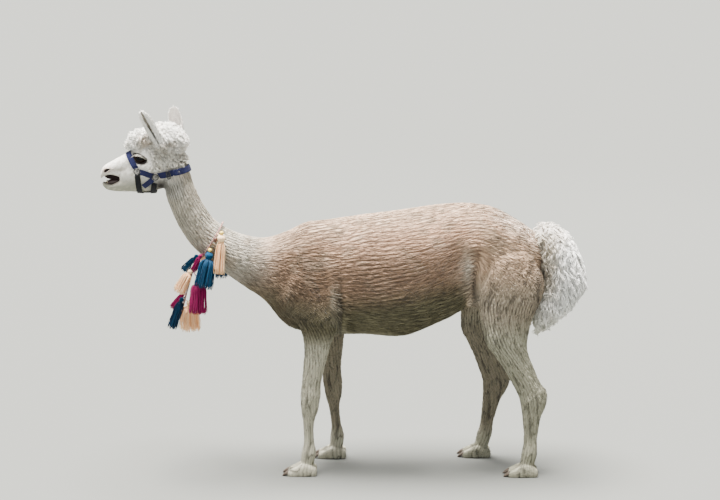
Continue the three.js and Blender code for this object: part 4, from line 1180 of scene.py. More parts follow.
def tufts(name, roots, normals, lie, shares, length, width, lift, colours, dice, slot, loose):
    """Flat three-sided tufts. Each starts under the skin, rises and bends back along the lie: at a share s of
    its length it is s along and lift * (s - s squared / 2.2) up. Its two sides run together to a point.
    loose is how far the tufts stray from the lie; shares is the root's place on the form."""
    count = len(roots)
    lie = lie - normals * (lie * normals).sum(axis=1, keepdims=True)
    lie += dice.normal(0, loose, (count, 3))
    lie = flat_on(normals, lie)
    aside = np.cross(normals, lie)
    long, wide, high = (np.broadcast_to(v, count)[:, None] for v in (length, width, lift))
    points = np.empty((count, 7, 3))
    for ring, (s, spread, crown) in enumerate(((0.0, 0.75, 0.28), (0.42, 1.0, 0.34))):
        up = long * high * (s - s * s / 2.2) - (0.0012 if ring == 0 else 0)
        middle = roots + lie * long * s + normals * up
        points[:, 3 * ring] = middle + normals * wide * crown
        points[:, 3 * ring + 1] = middle + aside * wide * spread / 2
        points[:, 3 * ring + 2] = middle - aside * wide * spread / 2
    bent = aside * long * dice.normal(0, 0.9 * loose, (count, 1))
    points[:, 6] = roots + lie * long + normals * long * high * (1 - 1 / 2.2) + bent
    start = 7 * np.arange(count)[:, None, None]
    faces = ((faces + start).reshape(-1, faces.shape[1]) for faces in TUFT)
    mesh = mesh_of(name, points.reshape(-1, 3), *faces)
    # Painted shade at each tuft's root, and a little painted light at its tip.
    shade = np.array([0.84] * 3 + [1.0] * 3 + [1.04])
    set_attribute(mesh, "tint", "FLOAT_COLOR", (colours[:, None, :] * shade[None, :, None]).reshape(-1, 3))
    spread = np.array([(0, -1), (-1, -1), (1, -1), (0, 0.3), (-1, 0.3), (1, 0.3), (0, 1)])
    lay_out(mesh, shares, 0.0015 * spread)
    piece(mesh, short_wool, slot)


def scattered(points, faces, weight, count, dice):
    """Random places on a surface: faces are drawn by area times weight, and a place in each evenly. Gives the
    faces drawn and the three shares of their corners."""
    a, b, c = (points[faces[:, k]] for k in range(3))
    area = np.linalg.norm(np.cross(b - a, c - a), axis=1) / 2 * weight
    chosen = dice.choice(len(faces), count, p=area / area.sum())
    u, v = dice.random((2, count))
    over = u + v > 1
    u[over], v[over] = 1 - u[over], 1 - v[over]
    return chosen, np.stack([1 - u - v, u, v], 1)


def mixed_at(values, corners, shares):
    """Values or vectors at places in triangles: those of their corners, mixed by the places' shares."""
    return (values.reshape(len(values), -1)[corners] * shares[..., None]).sum(axis=1).squeeze()


def coat_wool(name, sheen=0.1, scale=300):
    """Wool coloured by its points, mottled by a fine noise that also roughens it."""
    material = finish_of(name, (0.7, 0.6, 0.5), 0.95, Sheen_Weight=sheen, Sheen_Roughness=0.4,
                         Specular_IOR_Level=0.25)
    tree = material.node_tree
    fine = noise(tree, scale, 3)
    return led(material, tinted(tree, plus(tree, fine, 0.5, 0.75)), fine, 0.5, 0.0006)


short_wool = coat_wool("short_wool")
centres = skin_points[body_faces].mean(axis=1)
point_normals = normals_of(hide.data)
face_part = skin_coat["part"][body_faces[:, 0]]
centre_own = folded(centres - SHIFT)
x, y, z = centre_own.T

# Wool stops at the lids, the nostrils, the lips and inside the mouth, and under the toes.
bald = (almond(centre_own) < 1.75) & (y > 0.02) & (np.abs(x - EYE[0]) < 0.05) & (np.abs(z - EYE[2]) < 0.05)
bald |= (slit(centre_own) < 1.25) & (x < -0.79) & (y > 0.005)
bald |= (x < -0.778) & (z > 1.046) & (z < 1.066)
bald |= z < 0.012

# piece: the part of the body, tufts, length, width, lift, and how far the ridges gather them.
SHORT_COAT = {
    "coat_trunk": (0, 19500, 0.0340, 0.0030, 0.09, 1.0),
    "coat_neck": (0, 11500, 0.0320, 0.0024, 0.10, 0.95),
    "coat_head": (1, 12500, 0.0062, 0.0014, 0.24, 0.0),
    "coat_foreleg_left": (2, 5200, 0.0120, 0.0022, 0.26, 0.6),
    "coat_foreleg_right": (3, 5200, 0.0120, 0.0022, 0.26, 0.6),
    "coat_hindleg_left": (4, 10500, 0.0170, 0.0026, 0.22, 0.85),
    "coat_hindleg_right": (5, 10500, 0.0170, 0.0026, 0.22, 0.85),
}
NECK_END = -0.30
for index, (name, (part, count, length, width, lift, gather)) in enumerate(SHORT_COAT.items()):
    dice = np.random.default_rng(100 + index)
    here = (face_part == part) & ~bald
    if part == 0:
        here &= (centres[:, 0] > NECK_END) == (name == "coat_trunk")
    chosen, shares = scattered(skin_points, body_faces, here.astype(float), int(count * 1.8), dice)
    corners = body_faces[chosen]
    roots = mixed_at(skin_points, corners, shares)
    crest = np.sqrt(0.5 + 0.5 * np.sin(mixed_at(skin_coat["across"], corners, shares) * 2 * np.pi / RIDGE))
    strength = mixed_at(skin_coat["strong"], corners, shares) * gather
    kept = dice.random(len(roots)) < 1 - strength * (1 - crest ** 1.5)
    kept = np.flatnonzero(kept)[:count]
    roots, corners, shares, crest, strength = (v[kept] for v in (roots, corners, shares, crest, strength))
    normals = unit(mixed_at(point_normals, corners, shares))
    lie, across, far = (mixed_at(skin_coat[key], corners, shares) for key in ("lie", "across", "far"))
    own = folded(roots - SHIFT)
    small = np.ones(len(roots))
    if part == 1:
        small = 0.55 + 0.45 * soft(-0.76, -0.66, own[:, 0])
        small *= 0.55 + 0.45 * soft(1.7, 3.0, np.where(own[:, 1] > 0.02, almond(own), 3))
    if part >= 2:
        small = 0.5 + 0.5 * soft(0.03, 0.30, own[:, 2])
    small *= 1 - 0.6 * spot(own, (0.450, 0.12, 0.690), (0.030, 0.2, 0.09))
    size = small * dice.uniform(0.7, 1.25, len(roots))
    # Painted shade in the grooves between the ridges and in the partings, and a little painted light on the
    # crests.
    colours = markings_and_shading(roots) * (1 - 0.80 * strength * (1 - crest) + 0.06 * strength * crest)[:, None]
    tone = dice.normal(1.0, 0.04, (len(roots), 1)).clip(0.8, 1.2)
    colours *= (1 - CRACK_SHADE[part] * cracks(across, far)[:, None]) * tone
    tufts(name, roots, normals, lie, skin_coat["share"][corners[:, 0]], length * size, width * size,
          lift * dice.uniform(0.6, 1.2, len(roots)), colours, dice, "face" if part == 1 else "fleece",
          0.035 if part == 0 else 0.09)

# ---------------------------------------------------------------- tail, topknot and long curls
# Tail, crown and cheeks were left unshorn. Tail and crown are each a mass of felted wool with thin wavy locks
# on it, which hang down round the tail and stand up and outwards in curls on the crown; the cheeks' locks
# grow from the skin.
TAIL = np.array([
    (0.676, 0.880, 0.754, 0.876, 0.044, 0.5, 2.1),
    (0.660, 0.850, 0.792, 0.848, 0.068, 0.5, 2.1),
    (0.666, 0.798, 0.823, 0.798, 0.084, 0.5, 2.1),
    (0.676, 0.745, 0.844, 0.745, 0.091, 0.5, 2.1),
    (0.687, 0.689, 0.855, 0.689, 0.093, 0.5, 2.1),
    (0.680, 0.636, 0.832, 0.636, 0.088, 0.5, 2.1),
    (0.667, 0.587, 0.794, 0.587, 0.076, 0.5, 2.1),
    (0.662, 0.549, 0.750, 0.549, 0.058, 0.5, 2.1),
    (0.680, 0.529, 0.716, 0.529, 0.034, 0.5, 2.1),
])
TOPKNOT = np.array([
    (-0.744, 1.206, -0.744, 1.160, 0.030, 0.5, 2.1),
    (-0.730, 1.227, -0.730, 1.152, 0.044, 0.5, 2.1),
    (-0.705, 1.237, -0.705, 1.150, 0.053, 0.5, 2.1),
    (-0.685, 1.241, -0.685, 1.158, 0.056, 0.5, 2.1),
    (-0.655, 1.255, -0.655, 1.158, 0.058, 0.5, 2.1),
    (-0.620, 1.258, -0.620, 1.148, 0.061, 0.5, 2.1),
    (-0.595, 1.255, -0.595, 1.140, 0.061, 0.5, 2.1),
    (-0.570, 1.240, -0.570, 1.142, 0.052, 0.5, 2.1),
    (-0.552, 1.218, -0.552, 1.160, 0.036, 0.5, 2.1),
])
WOOL_DEPTH, LUMP_HEIGHT = 0.012, 0.0022


def locks(name, paths, thick, colours, shares, root_shade):
    """Three-sided locks along many paths, thickest a third of the way out and running to a point. Their
    colour is darkened towards the root as painted shade."""
    rings = paths.shape[1]
    s = np.linspace(0, 1, rings)
    swollen = np.where(s < 0.3, 0.6 + 1.3 * s, 1)
    form = 0.30 + 0.70 * np.sin(np.pi * np.minimum(0.5 + 0.5 * (s - 0.3) / 0.7, 1)) * swollen
    form[-1] = 0.06
    mesh = mesh_of(name, *strands(paths, np.asarray(thick)[:, None] * form / 2, sides=3))
    # Painted shade at the roots of the locks.
    shade = root_shade + (1.04 - root_shade) * soft(0, 0.55, s)
    per_point = np.repeat(colours[:, None, :] * shade[None, :, None], 3, axis=1).reshape(-1, 3)
    set_attribute(mesh, "tint", "FLOAT_COLOR", per_point)
    rim = np.arange(3) * 2 * np.pi / 3
    lay_out(mesh, shares, np.stack([np.tile(np.cos(rim), rings) * 0.0015, np.repeat(s - 0.5, 3) * 0.003], 1))
    piece(mesh, long_wool, "wool")


def fleece(name, surface, weight, counts, length, flow, rise, colours_of, thick, seed, dark, curl=0.055):
    """Wavy locks over a surface. Each belongs to the nearest of many clumps and runs most of the way to the
    clump's tip, which lies along the flow and out by the rise; all locks of a clump wave together. Flow and
    rise may be functions of the place. dark is the painted shade at the roots."""
    points, tris, normals, places = surface
    count, clumps = counts
    dice = np.random.default_rng(seed)

    def spread(number):
        """Random places on the surface, with the normals there and their places on the form."""
        chosen, parts = scattered(points, tris, weight, number, dice)
        corners = tris[chosen]
        there, out = (mixed_at(values, corners, parts) for values in (points, normals))
        return there, unit(out), places[corners[:, 0]]

    middles, up, _ = spread(clumps)
    roots, out, shares = spread(count)
    mine = np.argmin(((roots[:, None] - middles[None]) ** 2).sum(axis=2), axis=1)
    flow, rise = (v(middles - SHIFT) if callable(v) else v for v in (flow, rise))
    flow = flat_on(up, flow + dice.normal(0, 0.42, (clumps, 3)))
    long = dice.uniform(*length, (clumps, 1))
    stray = dice.random(clumps) < 0.12
    stray = np.where(stray, dice.uniform(0.002, 0.006, clumps), dice.uniform(-0.004, 0.002, clumps))
    tips = middles + flow * long + up * (rise + stray)[:, None]
    ends = tips[mine] + (roots - middles[mine]) * 0.42 + dice.normal(0, 0.0016, (count, 3))
    s = np.linspace(0, 1, 7)[None, :, None]
    bulge = out[:, None] * (long[mine][:, None] * 0.22 * np.sin(np.pi * s) - 0.001 * (1 - s))
    paths = roots[:, None] + (ends - roots)[:, None] * s + bulge
    phase, turns = (dice.uniform(*span, clumps)[mine][:, None, None] for span in ((0, 6.3), (6, 13)))
    phase = phase + s * turns
    wave = np.sin(phase) * np.cross(up, flow)[mine][:, None] + np.cos(phase) * up[mine][:, None]
    paths += wave * np.minimum(1, 2.5 * s) * (long[mine] * curl)[:, None]
    tone = dice.normal(1, 0.07, clumps)[mine][:, None] * dice.normal(1, 0.04, (count, 1))
    locks(name, paths, dice.uniform(*thick, count), colours_of(roots - SHIFT) * tone, shares, dark)


def wool_mass(name, rows, caps, node_name, colours, rings=60, around=60):
    """The felted mass under the locks: the form less the wool's depth, with rounded lumps all over. Gives its
    surface: places, triangles, normals and places on the form."""
    points, quads, fans = closed_form(rows, rings, around, -WOOL_DEPTH, caps)
    mesh = mesh_of(name, points + SHIFT, quads, fans)
    outward = normals_of(mesh)
    raised = points + SHIFT + outward * LUMP_HEIGHT * wobble(points, 0.022, 11)[:, None]
    reshaped(mesh, raised)
    # The mass is painted darker than its locks, as painted shade under them.
    set_attribute(mesh, "tint", "FLOAT_COLOR", colours(points) * 0.80)
    piece(mesh, long_wool, "wool", node_name)
    number = np.arange(len(points))
    places = np.stack([number // around / (rings + 8), number % around / around], 1)
    return raised, np.concatenate([halved(quads), fans]), outward, places


def tail_colours(own):
    """The tail's colours: white, with painted shade on its inner side towards the thighs and in a hollow by
    the haunch, and patches of beige.
    """
    x, _, z = own.T
    inner = (0.25 + 0.70 * soft(0.63, 0.71, z)) * (1 - soft(0.712, 0.770, x)) * (1 - soft(0.85, 0.90, z))
    return painted(own, [
        ((0.96, 0.92, 0.87), soft(0.80, 0.89, z)),
        # Painted shade on the inner side and in the hollow by the haunch.
        ((0.60, 0.53, 0.42), inner),
        ((0.26, 0.22, 0.17), 0.85 * spot(own, (0.704, 0.07, 0.738), (0.018, 0.06, 0.022))),
        ((0.86, 0.85, 0.76), 1 - soft(0.52, 0.62, z)),
        ((0.45, 0.40, 0.33), 0.45 * soft(0.2, 1.3, wobble(own, 0.05, 21)) * (1 - soft(0.72, 0.78, x))),
    ], (0.98, 0.975, 0.95))


long_wool = coat_wool("long_wool", 0.4, 900)
tail_mass = wool_mass("tail_wool_mass", TAIL, (0.009, 0.008), "tail", tail_colours)
tail_sides = tail_mass[0][tail_mass[1]].mean(axis=1)[:, 1]
for name, side in SIDES.items():
    fleece(f"coat_tail_{name}", tail_mass, side * tail_sides > 0, (3200, 800), (0.026, 0.044),
           (0.15, 0, -1), 0.006, tail_colours, (0.0018, 0.0034), 31 + side, 0.86, 0.034)


def crown_colours(own):
    """The crown's colours: cream white, with shadows of brown at its sides, under its rim and by the ears."""
    x, y, z = own.T
    side = soft(0.022, 0.045, np.abs(y))

    def shadow(depth, at_x, at_z, long, high):
        """A bell of the side view on both sides of the crown."""
        return depth * side * np.exp(-(((x - at_x) / long) ** 2 + ((z - at_z) / high) ** 2))

    return painted(own, [
        ((0.40, 0.28, 0.18), shadow(0.85, -0.680, 1.200, 0.017, 0.020)),
        ((0.35, 0.30, 0.24), shadow(0.85, -0.603, 1.190, 0.030, 0.009)),
        ((0.74, 0.63, 0.50), shadow(0.7, -0.680, 1.183, 0.030, 0.020)),
        ((0.50, 0.45, 0.38), shadow(0.75, -0.640, 1.175, 0.020, 0.030)),
        ((0.60, 0.56, 0.48), 0.7 * soft(0.3, 1.3, wobble(own, 0.035, 22)) * (1 - soft(1.19, 1.23, z))),
        ((0.52, 0.47, 0.40), shadow(0.6, -0.585, 1.158, 0.040, 0.014)),
    ], (0.98, 0.965, 0.92))


def clear_of_ears(own):
    """1 where a place is well away from the middle of the ear on its side, and 0 close to it."""
    away = np.ones(len(own))
    for side, root, tip, *_ in EARS.values():
        along = np.array(tip) - root
        share = np.clip((folded(own) - root) @ along / (along @ along), 0.22, 0.7)
        gap = np.linalg.norm(folded(own) - root - share[:, None] * along, axis=1)
        away *= np.where(side * own[:, 1] > 0, soft(0.014, 0.020, gap), 1)
    return away


crown_mass = wool_mass("crown_wool_mass", TOPKNOT, (0.006, 0.004), "topknot", crown_colours)
crown_middles = crown_mass[0][crown_mass[1]].mean(axis=1)
for name, side in SIDES.items():
    open_crown = (side * crown_middles[:, 1] > 0) * clear_of_ears(crown_middles - SHIFT)
    fleece(f"coat_crown_{name}", crown_mass, open_crown, (2900, 1000), (0.011, 0.022),
           lambda own: np.stack([(own[:, 0] + 0.66) * 8, own[:, 1] * 6, -0.5 + 0 * own[:, 0]], 1),
           0.005, crown_colours, (0.0015, 0.0028), 33 + side, 0.84)

# Curls on temple, cheek and nape, from behind the eye down to the halter.
x, y, z = centre_own.T
above_strap = z - 1.100 - 0.22 * (x + 0.60)
cheek = (x > -0.680) & (x < -0.535) & (above_strap > 0) & (z < 1.19) & (almond(centre_own) > 2.3)
thin_out = soft(-0.680, -0.650, x) * soft(0.005, 0.017, above_strap)
skin_surface = skin_points, body_faces, point_normals, skin_coat["share"]


def curl_colours(own):
    """The curls' colours: pale beige, patched with grey and white."""
    return painted(own, [
        ((0.40, 0.36, 0.29), 0.8 * soft(0.0, 1.2, wobble(own, 0.016, 23))),
        ((0.95, 0.93, 0.87), 0.8 * soft(0.1, 1.1, wobble(own, 0.02, 24))),
    ], (0.80, 0.77, 0.69))


fleece("coat_cheeks", skin_surface, cheek * thin_out, (3000, 700), (0.011, 0.021), (0.5, 0, -0.8),
       lambda own: np.interp(own[:, 0], [-0.66, -0.62, -0.56], [0.003, 0.006, 0.012]), curl_colours,
       (0.0014, 0.0028), 37, 0.42)

# Ears: short hair up their backs, and longer white hair along their rims.
EAR_TUFTS = 6400
dice = np.random.default_rng(34)
ear_faces = skin_faces[skin_faces[:, 0] >= ear_start]
inner_face = ears_inner[ear_faces - ear_start].mean(axis=1)
ear_corners = skin_points[ear_faces]
ear_normals = unit(np.cross(ear_corners[:, 1] - ear_corners[:, 0], ear_corners[:, 2] - ear_corners[:, 0]))
on_left = ear_corners[:, 0, 1] < 0
ways = {name: np.array(shape[2]) - shape[1] for name, shape in EARS.items()}
up = unit(np.where(on_left[:, None], ways["left"] * MIRROR, ways["right"]))
upright = np.abs((ear_normals * up).sum(axis=1))
weight = np.where(inner_face > 0.6, np.where(on_left, 0.10, 1.0), 1.0) * (upright < 0.55)
chosen, shares = scattered(skin_points, ear_faces, weight, EAR_TUFTS, dice)
corners = ear_faces[chosen]
roots = mixed_at(skin_points, corners, shares)
high = np.clip((roots[:, 2] - 1.178) / 0.12, 0, 1)
size = dice.uniform(0.7, 1.25, EAR_TUFTS) * (1.1 - 0.35 * high)
inner = inner_face[chosen] > 0.6
tone = np.where(inner[:, None], (0.95, 0.90, 0.87), (0.95, 0.935, 0.89))
tone = tone * dice.normal(1, 0.05, (EAR_TUFTS, 1))
tufts("coat_ears", roots, ear_normals[chosen], up[chosen], np.stack([high, 0.25 + 0.5 * on_left[chosen]], 1),
      0.0105 * size, 0.0014 * size, 0.30, tone, dice, "face", 0.22)

# Locks round the ears' roots, where they stand in the wool.
ear_low = 1 - soft(1.195, 1.214, ear_corners[:, :, 2].mean(axis=1))
fleece("coat_ear_roots", (skin_points, ear_faces, *skin_surface[2:]), ear_low * (inner_face < 0.6),
       (1100, 300), (0.013, 0.022), (0.25, 0, -1), 0.004, crown_colours, (0.0015, 0.0028), 38, 0.7)

# ---------------------------------------------------------------- eyes, lashes and mouth
# Large dark eyes with a long level pupil sit behind the lids, under pale lashes. In the open mouth are a
# tongue and six lower incisors; there are none above. Tongue and palate are painted nearly black, as painted
# shade.
def eye_glass():
    """Almost black iris, brown at its rim, round a bluish black pupil that is a long level ellipse."""
    material = finish_of("eye_glass", (0.006, 0.004, 0.003), 0.08, Coat_Weight=0.10, Coat_Roughness=0.02,
                         Specular_IOR_Level=0.04)
    tree = material.node_tree
    x, _, z = node(tree, "SeparateXYZ", {0: node(tree, "TexCoord", {}).outputs["Object"]}).outputs
    across = maths(tree, "DIVIDE", maths(tree, "SUBTRACT", x, float(EYE[0] + SHIFT[0] - 0.001)), 0.0115)
    high = maths(tree, "DIVIDE", maths(tree, "SUBTRACT", z, float(EYE[2])), 0.0055)
    quarter = times(tree, maths(tree, "ADD", times(tree, across, across), times(tree, high, high)), 0.25)
    pupil, iris = (0.0015, 0.002, 0.003), (0.011, 0.0055, 0.0035)
    return led(material, shades(tree, quarter, (0.2, pupil), (0.34, iris)))


glass = eye_glass()
for name, side in SIDES.items():
    eyeball = ball(EYE * [1, side, 1], EYE_RADII, 40, 60)
    piece(placed(f"eyeball_{name}", eyeball), glass, "eye", f"eye_{name}")

# Lashes start on the upper lid's edge and curve out, forwards and down over the eye.
LASHES = 110
dice = np.random.default_rng(41)
turn = (0.12 + 0.84 * np.linspace(0, 1, LASHES) ** 0.8) * np.pi + dice.normal(0, 0.02, LASHES)
s = np.linspace(0, 1, 8)[None, :]
long = (dice.uniform(0.007, 0.015, LASHES) * (0.75 + 0.35 * np.linspace(0, 1, LASHES)))[:, None]
x, y, z = over_eye(OPENING * np.cos(turn) * 1.08, OPEN_UPPER * np.sin(turn) * 1.12, 0.03)
lean = (dice.normal(0, 0.20, LASHES) - 0.30 + 0.5 * (x - EYE[0]) / 0.02)[:, None]
lash = np.stack([x[:, None] + long * s * lean, y[:, None] + 0.0015 + long * 0.55 * np.sin(s * 1.8),
                 z[:, None] - long * 0.62 * s ** 1.4], -1)
lash = np.concatenate([lash, lash * MIRROR]) + SHIFT
lash_hair = finish_of("lash_hair", (0.80, 0.76, 0.66), 0.6)
piece(mesh_of("lashes", *strands(lash, 0.00030 * (1.05 - s), sides=4)), lash_hair, "face")

TONGUE = np.array([
    (-0.784, 1.058, -0.784, 1.040, 0.013, 0.5, 2.2),
    (-0.800, 1.059, -0.800, 1.038, 0.014, 0.5, 2.2),
    (-0.816, 1.055, -0.816, 1.037, 0.012, 0.5, 2.2),
    (-0.825, 1.050, -0.825, 1.039, 0.008, 0.5, 2.2),
])
PALATE = np.array([
    (-0.778, 1.074, -0.778, 1.050, 0.016, 0.5, 2.6),
    (-0.800, 1.080, -0.800, 1.056, 0.018, 0.5, 2.6),
    (-0.820, 1.080, -0.820, 1.058, 0.015, 0.5, 2.6),
    (-0.829, 1.078, -0.829, 1.062, 0.010, 0.5, 2.4),
])
# The palate is painted nearly black, as painted shade inside the mouth.
shaded_gums = streaked("shaded_gums", (0.006, 0.003, 0.003), (0.016, 0.008, 0.008), 300, 0.4, 0.4)
shaded_gums.node_tree.nodes["Principled BSDF"].inputs["Specular IOR Level"].default_value = 0.06
piece(placed("palate", closed_form(PALATE, 30, 40, 0, (0.004, 0.004))), shaded_gums, "mouth")


def risen(name, shell, height_of):
    """A mesh of a shell that is raised by a height, a function of the place."""
    mesh = placed(name, shell)
    reshaped(mesh, shell[0] + SHIFT + normals_of(mesh) * height_of(shell[0])[:, None])
    return mesh


def papillae(points):
    """Fine bumps all over the tongue, and a groove like a bell along the middle of its upper side."""
    groove = 0.0014 * np.exp(-(points[:, 1] / 0.0018) ** 2) * (points[:, 2] > 1.04)
    return 0.0003 * wobble(points, 0.003, 42) - groove


# The tongue is painted a pink so dark it is nearly black, as painted shade inside the mouth.
shaded_tongue = streaked("shaded_tongue", (0.022, 0.010, 0.0095), (0.055, 0.027, 0.025), 500, 0.35, 0.5)
tongue = closed_form(TONGUE, 40, 40, 0, (0.004, 0.005))
piece(risen("tongue_flesh", tongue, papillae), shaded_tongue, "mouth", "tongue")

INCISORS = 6
teeth = []
for k in range(INCISORS):
    fan = (k - (INCISORS - 1) / 2) / INCISORS
    y, back = 0.017 * fan, 0.012 * fan ** 2
    teeth.append(closed_form(np.array([
        (-0.8150 + back, 1.036, -0.8130 + back, 1.030, 0.0012, 0.5, 2.4, y * 0.8),
        (-0.8215 + back, 1.044, -0.8205 + back, 1.037, 0.0015, 0.5, 2.6, y),
        (-0.8270 + back, 1.0520, -0.8280 + back, 1.0475, 0.0016, 0.5, 3.0, y * 1.12),
    ]), 16, 20, 0, (0.0005, 0.0008)))
enamel = streaked("enamel", (0.62, 0.52, 0.32), (0.78, 0.71, 0.52), 260, 0.28)
piece(placed("lower_incisors", joined(*teeth)), enamel, "tooth", "incisors")

# ---------------------------------------------------------------- nails
# Each toe ends in one narrow, curved, dark horn nail with fine growth rings, flat underneath.
horn = streaked("horn", (0.045, 0.034, 0.026), (0.16, 0.125, 0.095), 220, 0.42, 0.5)
# Sections of a nail: share of its 24 mm length from the toe's tip on, top, underside, half the width.
NAIL = (
    (-0.30, 0.0215, 0.0100, 0.0066), (0.05, 0.0215, 0.0070, 0.0076), (0.35, 0.0185, 0.0042, 0.0072),
    (0.65, 0.0130, 0.0020, 0.0056), (0.90, 0.0070, 0.0008, 0.0034), (1.00, 0.0038, 0.0006, 0.0016),
)
for kind in LEGS:
    for name, side in SIDES.items():
        for outer in (-1, 1):
            heel, y = toe_at(kind, side, outer)
            tip = heel - 0.88 * TOE_LENGTH
            claw = np.array([(tip - 0.024 * share, top, tip - 0.024 * share, low, half, 0.35, 2.2, y)
                             for share, top, low, half in NAIL])
            nail = f"nail_{kind}_{name}_{'outer' if outer * side > 0 else 'inner'}"
            mesh = risen(nail + "_horn", closed_form(claw, 36, 28, 0, (0.001, 0.0012)),
                         lambda points: 0.00018 * np.sin(points[:, 0] / 0.0021 * 2 * np.pi))
            piece(mesh, horn, "nail", nail)

# ---------------------------------------------------------------- the halter
# Navy and black webbing lies on the coat of head and neck, where rays from outside first meet it. It is over
# two millimetres thick, woven, with rounded edges, and folded round two welded steel rings on each side.
LIFT, WEBBING = 0.0016, 0.0024
halter_forms = joined(closed_form(HEAD, 90, 72, LIFT, (0.010, 0.011)),
                      closed_form(BODY, 200, 72, LIFT, (0.010, 0.02)))
under_halter = mathutils.bvhtree.BVHTree.FromPolygons(
    halter_forms[0].tolist(), [corners for block in halter_forms[1:] for corners in block.tolist()])


def met(origins, ways):
    """Where rays first meet the forms under the halter, and the forms' normals there."""
    found = [under_halter.ray_cast(o, w) for o, w in zip(origins.reshape(-1, 3), ways.reshape(-1, 3))]
    return [np.array([f[k] for f in found]).reshape(origins.shape) for k in (0, 1)]


LANES = np.array([-1, -0.96, -0.88, -0.6, -0.3, 0, 0.3, 0.6, 0.88, 0.96, 1])
LANE_RISE = np.array([0.15, 0.55, 0.86, 1, 1, 1, 1, 1, 0.86, 0.55, 0.15])


def wrapped(start, end, width, turns, count=110):
    """Places of a strap that goes round. Its middle plane holds the line from start to end of the side view,
    and rays come in to that line's middle from all angles in the plane, a quarter turn being towards the
    end."""
    run = np.array([end[0] - start[0], 0, end[1] - start[1]])
    hub = np.array([start[0], 0, start[1]]) + run * 0.5
    run /= np.linalg.norm(run)
    lean = np.array([-run[2], 0, run[0]])
    angle = np.linspace(*turns, count)
    way = np.cos(angle)[:, None] * np.array([0, 1, 0]) + np.sin(angle)[:, None] * run
    lanes = hub + lean * (LANES * width / 2)[:, None]
    origins = lanes[None] + way[:, None] * 0.16
    return met(origins, np.broadcast_to(-way[:, None], origins.shape))


def on_side(side, path, width, count=50):
    """Places of a strap on one side: round a smooth line of the side view, met by rays from straight out."""
    flat = evenly(np.array([(x, 0, z) for x, z in path]), count)
    along = unit(np.gradient(flat, axis=0))
    lean = np.stack([-along[:, 2], 0 * along[:, 0], along[:, 0]], 1)
    lanes = flat[:, None] + lean[:, None] * (LANES * width / 2)[None, :, None]
    lanes[..., 1] = side * 0.2
    return met(lanes, np.broadcast_to([0.0, -side, 0.0], lanes.shape))


def under_jaw(start, end, width, count=30):
    """Places of a strap that runs along under the jaw, met by rays from below."""
    x, y = np.meshgrid(np.linspace(start, end, count), LANES * width / 2, indexing="ij")
    lanes = np.stack([x, y, 0 * x + 0.93], -1)
    return met(lanes, np.broadcast_to([0.0, 0.0, 1.0], lanes.shape))


def blurred(values, rounds=3):
    """The rows of a grid smoothed along it by the binomial weights of five."""
    for _ in range(rounds):
        padded = np.concatenate([values[:1]] * 2 + [values] + [values[-1:]] * 2)
        values = sum(w * padded[k:k + len(values)] for k, w in enumerate(np.array([1, 4, 6, 4, 1]) / 16))
    return values


def webbing(name, grid, replaced, cloth, lift=0.0, over=(0.0, 0.0)):
    """A strap's closed shell over a grid of places. Its upper face stands off by lift and thickness, falling
    to rounded edges; over is how much further it is lifted at its two ends, where it folds over a ring.
    cloth is its material and slot."""
    place, outward = (blurred(v) for v in grid)
    outward = unit(outward.mean(axis=1, keepdims=True) + 0 * outward)
    run = travel(place[:, 5])
    rise = lift + over[0] * (1 - soft(0.001, 0.010, run)) + over[1] * (1 - soft(0.001, 0.010, run[-1] - run))
    lower = place + outward * rise[:, None, None]
    upper = lower + outward * (WEBBING * LANE_RISE)[None, :, None]
    ring = np.concatenate([upper, lower[:, ::-1]], 1)
    count, around = ring.shape[:2]
    number = np.arange(count * around).reshape(count, around)
    quads, _ = faces_round(count, around)
    mesh = mesh_of(name, ring.reshape(-1, 3) + SHIFT, quads, number[:1, ::-1], number[-1:])
    width = np.linalg.norm(place[:, -1] - place[:, 0], axis=1)[:, None] * LANES / 2
    across = np.concatenate([width, width[:, ::-1]], 1)
    along = np.repeat(run[:, None], around, 1)
    set_attribute(mesh, "weave", "FLOAT_VECTOR", np.stack([along, across, 0 * along], -1).reshape(-1, 3))
    whole = bmesh.new()
    whole.from_mesh(mesh)
    bmesh.ops.recalc_face_normals(whole, faces=whole.faces[:])
    whole.to_mesh(mesh)
    whole.free()
    piece(mesh, *cloth, *replaced)
    return upper, run


def woven(name, colour, light):
    """Webbing: ribs along it crossed by fine picks, raised, lighter on top, and worn in patches."""
    material = finish_of(name, colour, 0.70, Sheen_Weight=0.04, Specular_IOR_Level=0.2)
    tree = material.node_tree
    along, across, _ = node(tree, "SeparateXYZ", {0: noted(tree, "weave", "Vector")}).outputs
    rib = maths(tree, "SINE", times(tree, across, 2 * np.pi / 0.0016))
    pick = maths(tree, "SINE", times(tree, along, 2 * np.pi / 0.0011))
    raised = plus(tree, times(tree, rib, pick), 0.5, 0.5)
    worn = times(tree, raised, noise(tree, 60, 4))
    return led(material, shades(tree, worn, (0.1, colour), (0.75, light)), raised, 0.7, 0.0004)


navy = woven("navy_webbing", (0.006, 0.008, 0.040), (0.038, 0.045, 0.165)), "navy_webbing"
black = woven("black_webbing", (0.002, 0.0025, 0.004), (0.012, 0.014, 0.020)), "black_webbing"
OVER_RING = (0.0040, 0.0040)  # the folds over the rings at a strap's two ends
DOUBLED = 0.0026  # a strap that lies on another
